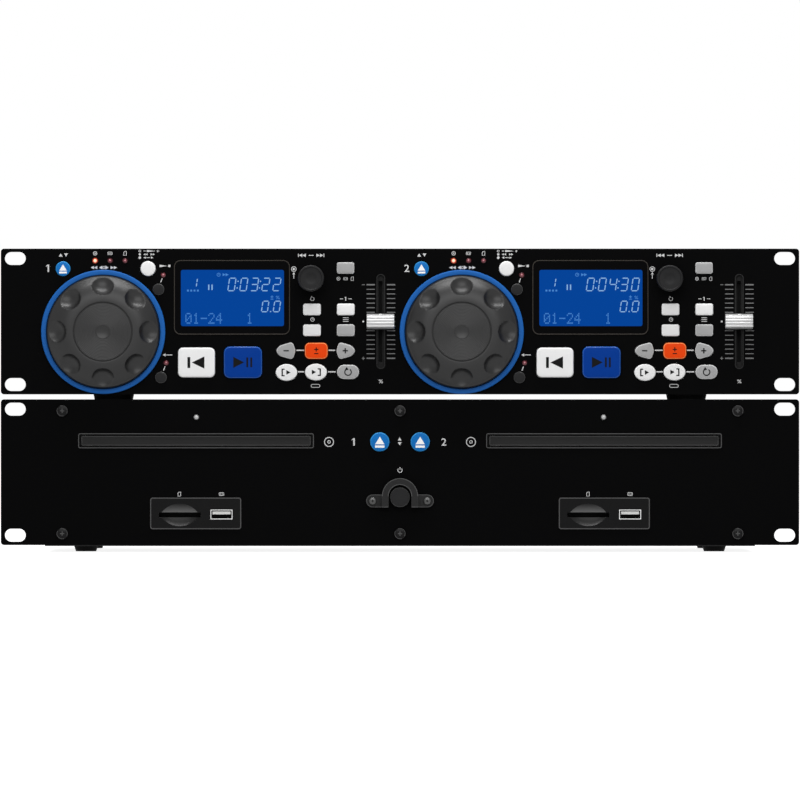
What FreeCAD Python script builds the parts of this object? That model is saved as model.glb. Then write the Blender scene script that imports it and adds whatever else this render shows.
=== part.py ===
import FreeCAD, Part
import math
import os
import re
import Sketcher
from FreeCAD import Placement, Rotation, Vector

# Disc player with two decks, built as two rack units: a control unit that stands on a drive unit.
# +X is to the right, +Y to the rear, +Z up. The origin is under the middle of the stack.

doc = FreeCAD.newDocument("dual_disc_player")
sheet = doc.addObject("Spreadsheet::Sheet", "Sizes")

sizes = {
    # rack panels
    "panel_wide": 482.6,
    "panel_high": 88.1,
    "panel_thick": 2.5,
    "panel_corner": 2.0,
    "slot_pitch_x": 465.1,
    "slot_pitch_z": 76.2,
    "slot_long": 12.6,
    "slot_high": 7.8,
    # cases
    "case_wide": 432.0,
    "sheet_thick": 1.2,
    "control_deep": 80.0,
    "drive_deep": 245.0,
    "case_inset": 1.5,
    "drive_sill": 0.6,
    "drive_foot_high": 3.4,
    "control_foot_high": 6.0,
    "cover_lip": 14.0,
    "fit_gap": 0.1,
    # feet
    "drive_foot_x": 190.4,
    "drive_foot_wide": 14.7,
    "control_foot_x": 173.8,
    "control_foot_wide": 24.4,
    "foot_taper": 1.2,
    "drive_foot_front": 30.0,
    "drive_foot_rear": 25.0,
    "control_foot_front": 21.0,
    "control_foot_rear": 17.0,
    "foot_bore": 5.0,
    # decks
    "deck_pitch": 216.7,
    "button_gap": 0.3,
    "button_travel": 1.2,
    "flange_gap": 0.3,
    "flange_lip": 1.0,
    "flange_thick": 1.2,
    "cap_round": 0.5,
    "switch_high": 5.0,
    "switch_wide": 6.0,
    "switch_stem": 1.6,
    "board_thick": 1.6,
    "board_margin": 0.4,
    "stud_wide": 3.6,
    "stud_z": 39.0,
    "outer_stud_x": -198.0,
    "inner_stud_x": -62.0,
    "drive_stud_x": 27.0,
    "drive_stud_top": 10.0,
    "drive_stud_low": -26.0,
    "small_round": 0.4,
    # jog wheels
    "jog_x": -179.4,
    "jog_z": -6.3,
    "jog_wide": 68.4,
    "jog_out": 14.0,
    "jog_shoulder": 50.0,
    "jog_shoulder_round": 16.0,
    "jog_rim_round": 4.0,
    "jog_rim_out": 8.5,
    "jog_gap": 0.5,
    "jog_wall": 2.5,
    "jog_web": 5.0,
    "jog_insert_wide": 35.8,
    "jog_groove": 0.7,
    "jog_hub_wide": 14.0,
    "jog_shaft_wide": 6.0,
    "jog_well_wide": 8.1,
    "jog_well_deep": 1.0,
    "jog_well_flare": 0.6,
    "dimple_place": 28.1,
    "dimple_ball": 9.0,
    "dimple_deep": 2.5,
    "dimple_drop": 1.2,
    "ring_gap": 0.3,
    "ring_wide": 75.0,
    "ring_out": 3.0,
    "shaft_gap": 0.05,
    "shaft_hole_gap": 0.5,
    "shaft_end_gap": 0.5,
    "bearing_wide": 16.0,
    # display windows
    "window_x": -101.6,
    "window_z": 14.6,
    "window_wide": 70.1,
    "window_high": 45.0,
    "window_corner": 4.0,
    "window_out": 0.4,
    "display_wide": 66.0,
    "display_high": 40.0,
    # track knob, which turns and is pushed
    "search_x": -53.8,
    "search_z": 26.0,
    "search_wide": 16.0,
    "search_tip_wide": 15.0,
    "search_out": 17.0,
    "search_gap": 1.0,
    "search_round": 1.0,
    "search_travel": 0.5,
    "spindle_wide": 6.0,
    "spindle_reach": 13.0,
    "encoder_wide": 12.0,
    # pitch faders
    "fader_x": -11.8,
    "fader_slot_wide": 5.4,
    "fader_slot_high": 56.9,
    "fader_travel": 22.1,
    "fader_cap_wide": 17.5,
    "fader_cap_high": 9.2,
    "fader_cap_top": 7.0,
    "fader_cap_out": 10.0,
    "fader_cap_gap": 0.8,
    "fader_stem_wide": 1.6,
    "fader_stem_high": 4.0,
    "fader_stem_gap": 0.4,
    "fader_body_wide": 9.0,
    "fader_body_high": 68.0,
    "fader_notch": 1.0,
    "fader_floor": 1.0,
    "fader_round": 0.8,
    "fader_slot_corner": 2.3,
    # lamps
    "lamp_wide": 3.0,
    "lamp_out": 0.6,
    "source_lamp_x": -184.3,
    "source_lamp_pitch": 9.05,
    "source_lamp_z": 36.7,
    "brake_lamp_x": -143.1,
    "brake_lamp_z": 28.0,
    "reverse_lamp_x": -141.4,
    "reverse_lamp_z": -25.1,
    "drive_lamp_x": 123.1,
    "drive_lamp_z": 33.2,
    # disc trays
    "tray_x": 123.3,
    "tray_z": 19.0,
    "door_wide": 138.4,
    "door_high": 5.6,
    "door_thick": 3.0,
    "door_gap": 0.3,
    "door_corner": 0.6,
    "bezel_wide": 142.4,
    "bezel_high": 9.0,
    "bezel_out": 0.8,
    "bezel_corner": 1.2,
    "tray_wide": 132.0,
    "tray_thick": 4.6,
    "tray_travel": 135.0,
    "tray_hold": 15.0,
    "tray_floor": 2.6,
    "disc_wide": 121.0,
    "disc_front": 8.0,
    "small_disc_wide": 81.0,
    "small_disc_deep": 0.9,
    "well_wide": 40.0,
    "well_shift": 20.0,
    "well_corner": 19.5,
    # disc loaders
    "loader_deep": 190.0,
    "loader_front": 8.0,
    "loader_wall": 2.0,
    "loader_drop": 26.0,
    "loader_base": 1.5,
    "rail_gap": 0.3,
    "rail_wide": 3.0,
    "rail_high": 2.0,
    "bridge_deep": 40.0,
    "bridge_thick": 1.5,
    "bridge_gap": 3.5,
    "clamp_wide": 30.0,
    "clamp_high": 2.0,
    "turntable_wide": 30.0,
    "turntable_high": 2.0,
    "turntable_gap": 0.5,
    "motor_wide": 24.0,
    "sled_wide": 34.0,
    "sled_deep": 22.0,
    "sled_high": 9.0,
    "sled_front": 24.0,
    "rod_wide": 3.0,
    "rod_long": 62.0,
    "rod_gap": 1.0,
    "rod_block_deep": 4.0,
    "tray_motor_x": -40.0,
    "tray_motor_y": 14.0,
    "tray_motor_high": 12.0,
    "leg_wide": 8.0,
    "leg_front": 30.0,
    # media ports
    "port_x": 123.5,
    "port_z": -24.9,
    "port_wide": 55.0,
    "port_high": 19.1,
    "port_corner": 1.5,
    "port_out": 0.8,
    "port_body_wide": 50.0,
    "port_body_high": 15.4,
    "port_body_deep": 6.0,
    "card_x": -9.7,
    "card_z": -0.9,
    "card_wide": 25.5,
    "card_high": 3.0,
    "card_deep": 22.0,
    "reader_wall": 2.0,
    "thumb_wide": 24.0,
    "thumb_high": 13.5,
    "thumb_deep": 3.0,
    "plug_x": 15.6,
    "plug_z": -0.65,
    "plug_wide": 13.2,
    "plug_high": 5.8,
    "plug_wall": 0.4,
    "plug_deep": 14.0,
    "plug_tongue": 1.9,
    "plug_floor": 2.0,
    "tongue_inset": 1.3,
    "tongue_rise": 0.2,
    "tongue_gap": 1.1,
    # power switch and its guard
    "power_z": -15.1,
    "power_wide": 12.0,
    "power_out": 6.0,
    "power_travel": 3.5,
    "power_case_wide": 16.0,
    "power_case_deep": 20.0,
    "power_plunger_wide": 4.0,
    "power_plunger_long": 3.0,
    "guard_z": -14.5,
    "guard_wide": 21.8,
    "guard_bore": 13.8,
    "guard_out": 7.0,
    "guard_low": -21.2,
    "ear_z": -17.35,
    "ear_wide": 40.8,
    "ear_high": 7.7,
    "ear_out": 2.5,
    "guard_screw_x": 16.5,
    # open and close buttons of the drive unit
    "open_x": 12.2,
    "open_z": 18.3,
    "open_wide": 11.5,
    "open_out": 2.0,
    # screws
    "screw_x": 204.2,
    "screw_z": 37.1,
    "screw_head_wide": 6.7,
    "screw_head_high": 1.8,
    "screw_shank": 3.0,
    "screw_long": 8.0,
    "cross_wide": 0.9,
    "cross_long": 3.6,
    "cross_deep": 0.9,
    "small_head_wide": 4.2,
    "cover_screw_y": 60.0,
    "cover_screw_pitch": 130.0,
    # rear sockets
    "jack_out": 9.0,
    "jack_wide": 8.4,
    "jack_bore": 3.4,
    "jack_base": 12.0,
    "jack_pitch_x": 20.0,
    "jack_pitch_z": 16.0,
    "jack_x": -60.0,
    "jack_z": 20.0,
    "inlet_x": 170.0,
    "inlet_z": 36.0,
    "inlet_wide": 28.0,
    "inlet_high": 20.5,
    "inlet_wall": 2.0,
    "inlet_deep": 22.0,
    "inlet_flange": 3.0,
    "pin_high": 4.0,
    "pin_wide": 2.0,
    "pin_long": 15.0,
    "pin_pitch": 7.0,
    "pin_drop": 2.0,
    "link_x": 40.0,
    "link_wide": 12.0,
    "link_out": 2.0,
    "link_deep": 10.0,
    "link_mouth_wide": 8.4,
    "link_mouth_deep": 6.0,
    "link_z": 18.0,
    # inner boards and supply
    "standoff_wide": 7.0,
    "standoff_high": 7.0,
    "main_board_wide": 100.0,
    "main_board_front": 60.0,
    "main_board_deep": 172.0,
    "servo_board_wide": 90.0,
    "servo_board_deep": 110.0,
    "core_wide": 54.0,
    "core_high": 34.0,
    "core_deep": 44.0,
    "coil_wide": 34.0,
    "coil_out": 6.0,
    "coil_inset": 4.0,
    "core_gap": 20.0,
    "chip_wide": 16.0,
    "chip_high": 2.0,
    "chip_x": 22.0,
    "chip_front": 60.0,
    "servo_chip_front": 35.0,
    "servo_chip_pitch": 40.0,
    "can_wide": 14.0,
    "can_high": 18.0,
    "can_front": 110.0,
    "front_board_wide": 62.0,
    "lamp_board_wide": 10.0,
    "lamp_board_high": 6.0,
    "vent_wide": 3.0,
    "vent_long": 34.0,
    "vent_corner": 1.3,
    "vent_pitch": 8.0,
    "vent_field": 60.0,
}

# Push buttons of one deck: form, place from the panel's centre, size, corner and reach in front of the panel.
buttons = {
    "eject_button": ("round", -203.7, 31.9, 8.8, 8.8, 0.0, 1.5),
    "mode_button": ("round", -152.3, 32.0, 9.0, 9.0, 0.0, 2.0),
    "brake_button": ("round", -146.0, 19.4, 7.0, 7.0, 0.0, 1.5),
    "reverse_button": ("round", -144.5, -33.8, 7.0, 7.0, 0.0, 1.5),
    "cue_button": ("block", -123.0, -24.8, 22.2, 18.0, 3.0, 2.8),
    "play_button": ("block", -94.9, -24.7, 23.0, 19.1, 3.7, 2.8),
    "source_button": ("block", -32.9, 32.3, 10.4, 6.8, 1.3, 2.0),
    "repeat_button": ("block", -53.2, 7.3, 10.6, 7.0, 1.3, 2.0),
    "single_button": ("block", -32.8, 7.3, 10.6, 7.0, 1.3, 2.0),
    "time_button": ("block", -53.2, -5.3, 10.6, 7.0, 1.3, 2.0),
    "program_button": ("block", -32.8, -5.3, 10.6, 7.0, 1.3, 2.0),
    "pitch_minus_button": ("left_drop", -69.2, -17.7, 11.5, 9.4, 2.2, 2.0),
    "pitch_button": ("block", -50.6, -17.7, 13.6, 9.6, 2.8, 2.0),
    "pitch_plus_button": ("right_drop", -32.6, -17.7, 11.2, 9.4, 2.2, 2.0),
    "loop_in_button": ("oval", -68.6, -30.8, 12.9, 10.1, 0.0, 2.0),
    "loop_out_button": ("oval", -50.8, -30.6, 13.2, 10.1, 0.0, 2.0),
    "reloop_button": ("pill", -31.4, -30.5, 13.3, 8.6, 0.0, 2.0),
}
for name, (form, x, z, wide, high, corner, out) in buttons.items():
    sizes[name + "_x"] = x
    sizes[name + "_z"] = z
    sizes[name + "_wide"] = wide
    sizes[name + "_high"] = high
    sizes[name + "_out"] = out
    if corner:
        sizes[name + "_corner"] = corner

# Lengths that follow from the sizes. Depths are counted from the front face of the panels, to the rear.
worked_out = {
    "face_y": "search_out - (search_out + drive_deep + jack_out) / 2",
    "drive_floor": "drive_foot_high",
    "drive_z": "drive_foot_high + drive_sill + panel_high / 2",
    "drive_top": "drive_z + panel_high / 2 - case_inset",
    "control_floor": "drive_top + control_foot_high",
    "control_z": "control_floor - case_inset + panel_high / 2",
    "control_top": "control_z + panel_high / 2 - case_inset",
    "flange_y": "panel_thick + flange_gap",
    "stem_y": "flange_y + flange_thick + button_travel + fit_gap",
    "board_y": "stem_y + switch_high",
    "door_open_wide": "door_wide + 2 * door_gap",
    "door_open_high": "door_high + 2 * door_gap",
    "tray_level": "drive_z + tray_z",
    "tray_low": "tray_level - tray_thick / 2",
    "tray_high": "tray_level + tray_thick / 2",
    "tray_deep": "tray_travel + tray_hold",
    "disc_y": "door_thick + disc_front + disc_wide / 2",
    "rail_inner": "tray_wide / 2 - rail_wide",
    "rail_outer": "tray_wide / 2 + rail_gap",
    "loader_half": "rail_outer + loader_wall",
    "loader_floor": "tray_level - loader_drop",
    "loader_top": "tray_high + bridge_gap",
    "inner_floor": "drive_floor + sheet_thick",
    "board_level": "inner_floor + standoff_high",
    "leg_rear": "loader_front + loader_deep - leg_front",
}
case_vents = 13
cover_vents = 12
decks = {"a": "0", "b": "deck_pitch"}
sides = {"a": "-1", "b": "1"}

for row, (name, value) in enumerate(sizes.items(), 1):
    sheet.set(f"A{row}", name)
    sheet.set(f"B{row}", str(value))
    sheet.setAlias(f"B{row}", name)
doc.recompute()
nodes = {}


def full(text):
    """an expression with worked-out lengths written out and sheet names qualified"""
    def swap(match):
        word = match.group(0)
        if word in worked_out:
            return "(" + full(worked_out[word]) + ")"
        return "Sizes." + word if word in sizes else word
    return re.sub(r"[A-Za-z_]\w*", swap, str(text))


def number(text):
    return float(sheet.evalExpression(full(text)))


def bind(thing, **lengths):
    """drives properties of an object; the name's underscores stand for dots"""
    for name, text in lengths.items():
        thing.setExpression(name.replace("_", "."), full(text))


def place(thing, x="0", y="0", z="0"):
    thing.Placement = Placement(Vector(number(x), number(y), number(z)), thing.Placement.Rotation)
    bind(thing, Placement_Base_x=x, Placement_Base_y=y, Placement_Base_z=z)


# Sketched bodies

def new_body(label, x="0", y="0", z="0"):
    body = doc.addObject("PartDesign::Body", label)
    body.Label = label
    body.AllowCompound = True
    place(body, x, y, z)
    return body


def node(label, thing):
    thing.Label = label
    nodes[label] = thing
    return thing


def sketch_on(body, plane="XZ_Plane", depth="0"):
    """a sketch on an origin plane, moved depth along +Y, or +Z on the XY plane, or +X on the YZ plane"""
    sketch = body.newObject("Sketcher::SketchObject", body.Name + "_sketch")
    origin_plane = [item for item in body.Origin.OriginFeatures if item.Role == plane][0]
    sketch.AttachmentSupport = [(origin_plane, "")]
    sketch.MapMode = "FlatFace"
    along = f"-({depth})" if plane == "XZ_Plane" else depth
    sketch.AttachmentOffset = Placement(Vector(0, 0, number(along)), Rotation())
    bind(sketch, AttachmentOffset_Base_z=along)
    return sketch


def rule(kind, *places):
    return (Sketcher.Constraint(kind, *places), None)


def length(kind, places, text):
    """one driven dimension; a zero distance from an axis puts the point on that axis"""
    if text == "0" and kind in ("DistanceX", "DistanceY"):
        return rule("PointOnObject", places[2], places[3], -2 if kind == "DistanceX" else -1)
    return (Sketcher.Constraint(kind, *places, number(text)), text)


def spot(edge, end, x, z):
    return [length("DistanceX", (-1, 1, edge, end), x), length("DistanceY", (-1, 1, edge, end), z)]


def settle(sketch, rules):
    """adds rules to a sketch in one go and binds the lengths among them to the sheet"""
    first = sketch.ConstraintCount
    for index, (constraint, text) in enumerate(rules):
        constraint.Name = f"{constraint.Type}_{first + index}"
    sketch.addConstraint([constraint for constraint, text in rules])
    for index, (constraint, text) in enumerate(rules):
        if text is not None:
            sketch.setExpression("Constraints." + constraint.Name, full(text))


def circle(sketch, x, z, wide):
    edge = sketch.addGeometry(Part.Circle(Vector(number(x), number(z), 0), Vector(0, 0, 1), number(wide) / 2),
                              False)
    settle(sketch, spot(edge, 3, x, z) + [length("Diameter", (edge,), wide)])


def oval(sketch, x, z, wide, high):
    middle = Vector(number(x), number(z), 0)
    edge = sketch.addGeometry(Part.Ellipse(middle, number(wide) / 2, number(high) / 2), False)
    sketch.exposeInternalGeometry(edge)
    sizes_of_axes = [length("Distance", (edge + 1,), wide), length("Distance", (edge + 2,), high)]
    settle(sketch, spot(edge, 3, x, z) + [rule("Horizontal", edge + 1)] + sizes_of_axes)


def profile(sketch, corners):
    """closed outline through corners (x, y) or (x, y, radius); an arc tangent to both sides rounds a corner"""
    spots = [Vector(number(corner[0]), number(corner[1]), 0) for corner in corners]
    starts = []
    ends = []
    arcs = []
    for index, corner in enumerate(corners):
        here = spots[index]
        before = (spots[index - 1] - here).normalize()
        after = (spots[(index + 1) % len(spots)] - here).normalize()
        if len(corner) == 2:
            starts.append(here)
            ends.append(here)
            arcs.append(None)
            continue
        radius = number(corner[2])
        half_angle = before.getAngle(after) / 2
        reach = radius / math.tan(half_angle)
        centre = here + (before + after).normalize() * (radius / math.sin(half_angle))
        starts.append(here + before * reach)
        ends.append(here + after * reach)
        left_turn = before.cross(after).z < 0
        first, last = (starts[-1], ends[-1]) if left_turn else (ends[-1], starts[-1])
        angle_one = math.atan2(first.y - centre.y, first.x - centre.x)
        angle_two = math.atan2(last.y - centre.y, last.x - centre.x)
        arc = Part.ArcOfCircle(Part.Circle(centre, Vector(0, 0, 1), radius), angle_one, angle_two)
        arcs.append((arc, left_turn))
    lines = []
    for index in range(len(corners)):
        line = Part.LineSegment(ends[index], starts[(index + 1) % len(corners)])
        lines.append(sketch.addGeometry(line, False))
    rules = []
    for index, corner in enumerate(corners):
        line_in = lines[index - 1]
        line_out = lines[index]
        if arcs[index] is None:
            rules.append(rule("Coincident", line_in, 2, line_out, 1))
            rules.extend(spot(line_out, 1, corner[0], corner[1]))
            continue
        arc, left_turn = arcs[index]
        edge = sketch.addGeometry(arc, False)
        first, last = (1, 2) if left_turn else (2, 1)
        mark = sketch.addGeometry(Part.Point(spots[index]), True)
        rules.append(rule("Tangent", line_in, 2, edge, first))
        rules.append(rule("Tangent", edge, last, line_out, 1))
        rules.append(length("Radius", (edge,), corner[2]))
        rules.extend(spot(mark, 1, corner[0], corner[1]))
        rules.append(rule("PointOnObject", mark, 1, line_in))
        rules.append(rule("PointOnObject", mark, 1, line_out))
    settle(sketch, rules)


def block(sketch, x, z, wide, high, corner=None):
    """rectangle about a centre, with rounded corners if a radius is given"""
    tail = () if corner is None else (corner,)
    left = f"{x} - ({wide}) / 2"
    right = f"{x} + ({wide}) / 2"
    low = f"{z} - ({high}) / 2"
    top = f"{z} + ({high}) / 2"
    profile(sketch, [(left, low, *tail), (right, low, *tail), (right, top, *tail), (left, top, *tail)])


def pill(sketch, x, z, wide, high):
    """lying oblong with half-round ends"""
    radius = number(high) / 2
    reach = number(wide) / 2 - radius
    middle = Vector(number(x), number(z), 0)
    up = Vector(0, radius, 0)
    side = Vector(reach, 0, 0)
    low = sketch.addGeometry(Part.LineSegment(middle - side - up, middle + side - up), False)
    top = sketch.addGeometry(Part.LineSegment(middle + side + up, middle - side + up), False)
    right_end = Part.ArcOfCircle(Part.Circle(middle + side, Vector(0, 0, 1), radius), -math.pi / 2, math.pi / 2)
    left_end = Part.ArcOfCircle(Part.Circle(middle - side, Vector(0, 0, 1), radius), math.pi / 2,
                                3 * math.pi / 2)
    right = sketch.addGeometry(right_end, False)
    left = sketch.addGeometry(left_end, False)
    rules = [rule("Tangent", low, 2, right, 1), rule("Tangent", right, 2, top, 1),
             rule("Tangent", top, 2, left, 1), rule("Tangent", left, 2, low, 1)]
    rules.extend(spot(right, 3, f"{x} + ({wide} - ({high})) / 2", z))
    rules.extend(spot(left, 3, f"{x} - ({wide} - ({high})) / 2", z))
    rules.append(length("Radius", (right,), f"({high}) / 2"))
    settle(sketch, rules)


def drop(sketch, x, z, wide, high, corner, way):
    """rounded triangle with full sides; way is -1 where its tip points left and 1 where it points right"""
    half = f"({high}) / 2"
    tip = (f"{x} + ({way}) * (({wide}) / 2 + 0.05 * ({wide}))", z, corner)
    side_x = f"{x} + ({way}) * 0.30 * ({wide})"
    side_up = (side_x, f"{z} + 0.68 * {half}", f"({high}) / 2")
    side_down = (side_x, f"{z} - 0.68 * {half}", f"({high}) / 2")
    heel_x = f"{x} - ({way}) * 0.36 * ({wide})"
    heel_up = (heel_x, f"{z} + 1.13 * {half}", f"0.9 * ({corner})")
    heel_down = (heel_x, f"{z} - 1.13 * {half}", f"0.9 * ({corner})")
    back = (f"{x} - ({way}) * 0.515 * ({wide})", z, f"({high}) / 2")
    outline = [tip, side_down, heel_down, back, heel_up, side_up]
    if way == "1":
        outline.reverse()
    profile(sketch, outline)


def button_outline(sketch, name, x, z, grow):
    """outline of a button about a place, grown on all sides"""
    form = buttons[name][0]
    wide = f"{name}_wide + 2 * ({grow})"
    high = f"{name}_high + 2 * ({grow})"
    if form == "round":
        circle(sketch, x, z, wide)
    elif form == "oval":
        oval(sketch, x, z, wide, high)
    elif form == "pill":
        pill(sketch, x, z, wide, high)
    elif form == "block":
        block(sketch, x, z, wide, high, f"{name}_corner + ({grow})")
    else:
        drop(sketch, x, z, wide, high, f"{name}_corner + ({grow})", "-1" if form == "left_drop" else "1")


def pad(body, sketch, length, forward=False):
    """adds material from a sketch to the rear, or to the front, of a front-facing plane"""
    feature = body.newObject("PartDesign::Pad", body.Name + "_pad")
    feature.Profile = sketch
    feature.Length = number(length)
    bind(feature, Length=length)
    feature.Reversed = not forward
    sketch.Visibility = False
    body.Tip = feature
    return feature


def pad_between(body, sketch, length):
    """adds material evenly on both sides of a sketch"""
    feature = pad(body, sketch, length)
    feature.Midplane = True
    return feature


def pocket(body, sketch, length, forward=False):
    """cuts from a sketch to the rear, or to the front"""
    feature = body.newObject("PartDesign::Pocket", body.Name + "_pocket")
    feature.Profile = sketch
    feature.Length = number(length)
    bind(feature, Length=length)
    feature.Reversed = forward
    feature.Refine = False
    body.Tip = feature
    return feature


def revolve(body, sketch):
    """turns a profile about the sketch's upright axis"""
    feature = body.newObject("PartDesign::Revolution", body.Name + "_turn")
    feature.Profile = sketch
    feature.ReferenceAxis = (sketch, ["V_Axis"])
    feature.Angle = 360
    body.Tip = feature
    return feature


def row_of(body, feature, count, pitch):
    """repeats a feature along +X"""
    pattern = body.newObject("PartDesign::LinearPattern", body.Name + "_row")
    pattern.Originals = [feature]
    pattern.Direction = ([item for item in body.Origin.OriginFeatures if item.Role == "X_Axis"][0], [""])
    pattern.Occurrences = count
    bind(pattern, Length=f"{count - 1} * {pitch}")
    body.Tip = pattern
    return pattern


def round_front(body, feature, radius):
    """rounds the edges of the face that lies furthest to the front"""
    doc.recompute([feature.Profile[0], feature])
    faces = feature.Shape.Faces
    front = min(range(len(faces)), key=lambda index: faces[index].CenterOfMass.y)
    edge = body.newObject("PartDesign::Fillet", body.Name + "_round")
    edge.Base = (feature, [f"Face{front + 1}"])
    edge.Radius = number(radius)
    bind(edge, Radius=radius)
    body.Tip = edge
    return edge


# Plain solids, each between two corners or along an axis

def brick(label, x, y, z, wide, deep, high):
    """a box about x, from y to the rear and from z up"""
    thing = doc.addObject("Part::Box", label)
    bind(thing, Length=wide, Width=deep, Height=high)
    place(thing, f"{x} - ({wide}) / 2", y, z)
    return thing


def rod(label, x, y, z, wide, long, axis="y"):
    thing = doc.addObject("Part::Cylinder", label)
    bind(thing, Radius=f"({wide}) / 2", Height=long)
    if axis == "y":
        thing.Placement = Placement(Vector(), Rotation(Vector(1, 0, 0), -90))
    place(thing, x, y, z)
    return thing


def cut(label, base, *tools):
    thing = doc.addObject("Part::Cut", label)
    thing.Base = base
    thing.Tool = tools[0] if len(tools) == 1 else join(label + "_tools", *tools)
    return thing


def join(label, *parts):
    thing = doc.addObject("Part::MultiFuse", label)
    thing.Shapes = list(parts)
    return thing


def group(label, parts):
    """separate solids that share one node"""
    thing = doc.addObject("Part::Compound", label)
    thing.Links = parts
    return node(label, thing)


# Front panels

def panel_blank(label, level):
    body = new_body(label, "0", "face_y", level)
    sketch = sketch_on(body)
    block(sketch, "0", "0", "panel_wide", "panel_high", "panel_corner")
    pad(body, sketch, "panel_thick")
    slots = sketch_on(body)
    for x in ("-1", "1"):
        for z in ("-1", "1"):
            pill(slots, f"{x} * slot_pitch_x / 2", f"{z} * slot_pitch_z / 2", "slot_long", "slot_high")
    pocket(body, slots, "panel_thick")
    return body


def lamp_places(deck):
    shift = decks[deck]
    places = [(f"source_lamp_x + {step} * source_lamp_pitch + {shift}", "source_lamp_z") for step in range(3)]
    places.append((f"brake_lamp_x + {shift}", "brake_lamp_z"))
    places.append((f"reverse_lamp_x + {shift}", "reverse_lamp_z"))
    return places


def stud_places():
    columns = [f"{place} + {shift}" for shift in decks.values() for place in ("outer_stud_x", "inner_stud_x")]
    return [(x, f"{side} * stud_z") for x in columns for side in ("-1", "1")]


def control_front_panel():
    body = panel_blank("control_front_panel", "control_z")
    for name in buttons:
        holes = sketch_on(body)
        for shift in decks.values():
            button_outline(holes, name, f"{name}_x + {shift}", f"{name}_z", "button_gap")
        pocket(body, holes, "panel_thick")
    windows = sketch_on(body)
    rounds = sketch_on(body)
    for deck, shift in decks.items():
        block(windows, f"window_x + {shift}", "window_z", "window_wide + 2 * fit_gap",
              "window_high + 2 * fit_gap", "window_corner + fit_gap")
        block(windows, f"fader_x + {shift}", "0", "fader_slot_wide", "fader_slot_high", "fader_slot_corner")
        circle(rounds, f"jog_x + {shift}", "jog_z", "jog_shaft_wide + 2 * shaft_hole_gap")
        circle(rounds, f"search_x + {shift}", "search_z", "spindle_wide + 2 * shaft_hole_gap")
        for x, z in lamp_places(deck):
            circle(rounds, x, z, "lamp_wide + fit_gap")
    pocket(body, windows, "panel_thick")
    pocket(body, rounds, "panel_thick")
    studs = sketch_on(body, depth="panel_thick")
    for x, z in stud_places():
        circle(studs, x, z, "stud_wide")
    pad(body, studs, "board_y - panel_thick")
    node("control_front_panel", body)


def drive_front_panel():
    body = panel_blank("drive_front_panel", "drive_z")
    openings = sketch_on(body)
    rounds = sketch_on(body)
    for side in sides.values():
        block(openings, f"{side} * tray_x", "tray_z", "door_open_wide", "door_open_high", "bezel_corner")
        block(openings, f"{side} * port_x", "port_z", "port_body_wide + 2 * fit_gap",
              "port_body_high + 2 * fit_gap", "port_corner")
        circle(rounds, f"{side} * drive_lamp_x", "drive_lamp_z", "lamp_wide + fit_gap")
        circle(rounds, f"{side} * open_x", "open_z", "open_wide + 2 * button_gap")
        circle(rounds, f"{side} * guard_screw_x", "ear_z", "screw_shank + fit_gap")
    for x, z in panel_screw_places():
        circle(rounds, x, z, "screw_shank + fit_gap")
    circle(rounds, "0", "power_z", "power_wide + 2 * button_gap")
    pocket(body, openings, "panel_thick")
    pocket(body, rounds, "panel_thick")
    studs = sketch_on(body, depth="panel_thick")
    for x, z in front_stud_places():
        circle(studs, x, z, "stud_wide")
    pad(body, studs, "board_y - panel_thick")
    node("drive_front_panel", body)


def front_stud_places():
    return [(f"{side} * drive_stud_x", z) for side in sides.values() for z in ("drive_stud_top",
                                                                               "drive_stud_low")]


def panel_screw_places():
    return [(f"{x} * screw_x", f"{z} * screw_z") for x in ("-1", "0", "1") for z in ("-1", "1")]


# Controls

def pressed(label, outline, out, travel, x, z, level):
    """a push button: cap and neck through the panel, with a flange behind it; outline draws its shape, grown"""
    body = new_body(label, x, "face_y", f"{level} + {z}")
    cap = sketch_on(body, depth=f"-({out})")
    outline(cap, "0")
    neck = pad(body, cap, f"{out} + flange_y")
    round_front(body, neck, "cap_round")
    flange = sketch_on(body, depth="flange_y")
    outline(flange, "flange_lip")
    pad(body, flange, "flange_thick")
    return node(label, body)


def deck_button(name, deck):
    pressed(f"{name}_{deck}", lambda sketch, grow: button_outline(sketch, name, "0", "0", grow),
            f"{name}_out", "button_travel", f"{name}_x + {decks[deck]}", f"{name}_z", "control_z")


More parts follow.
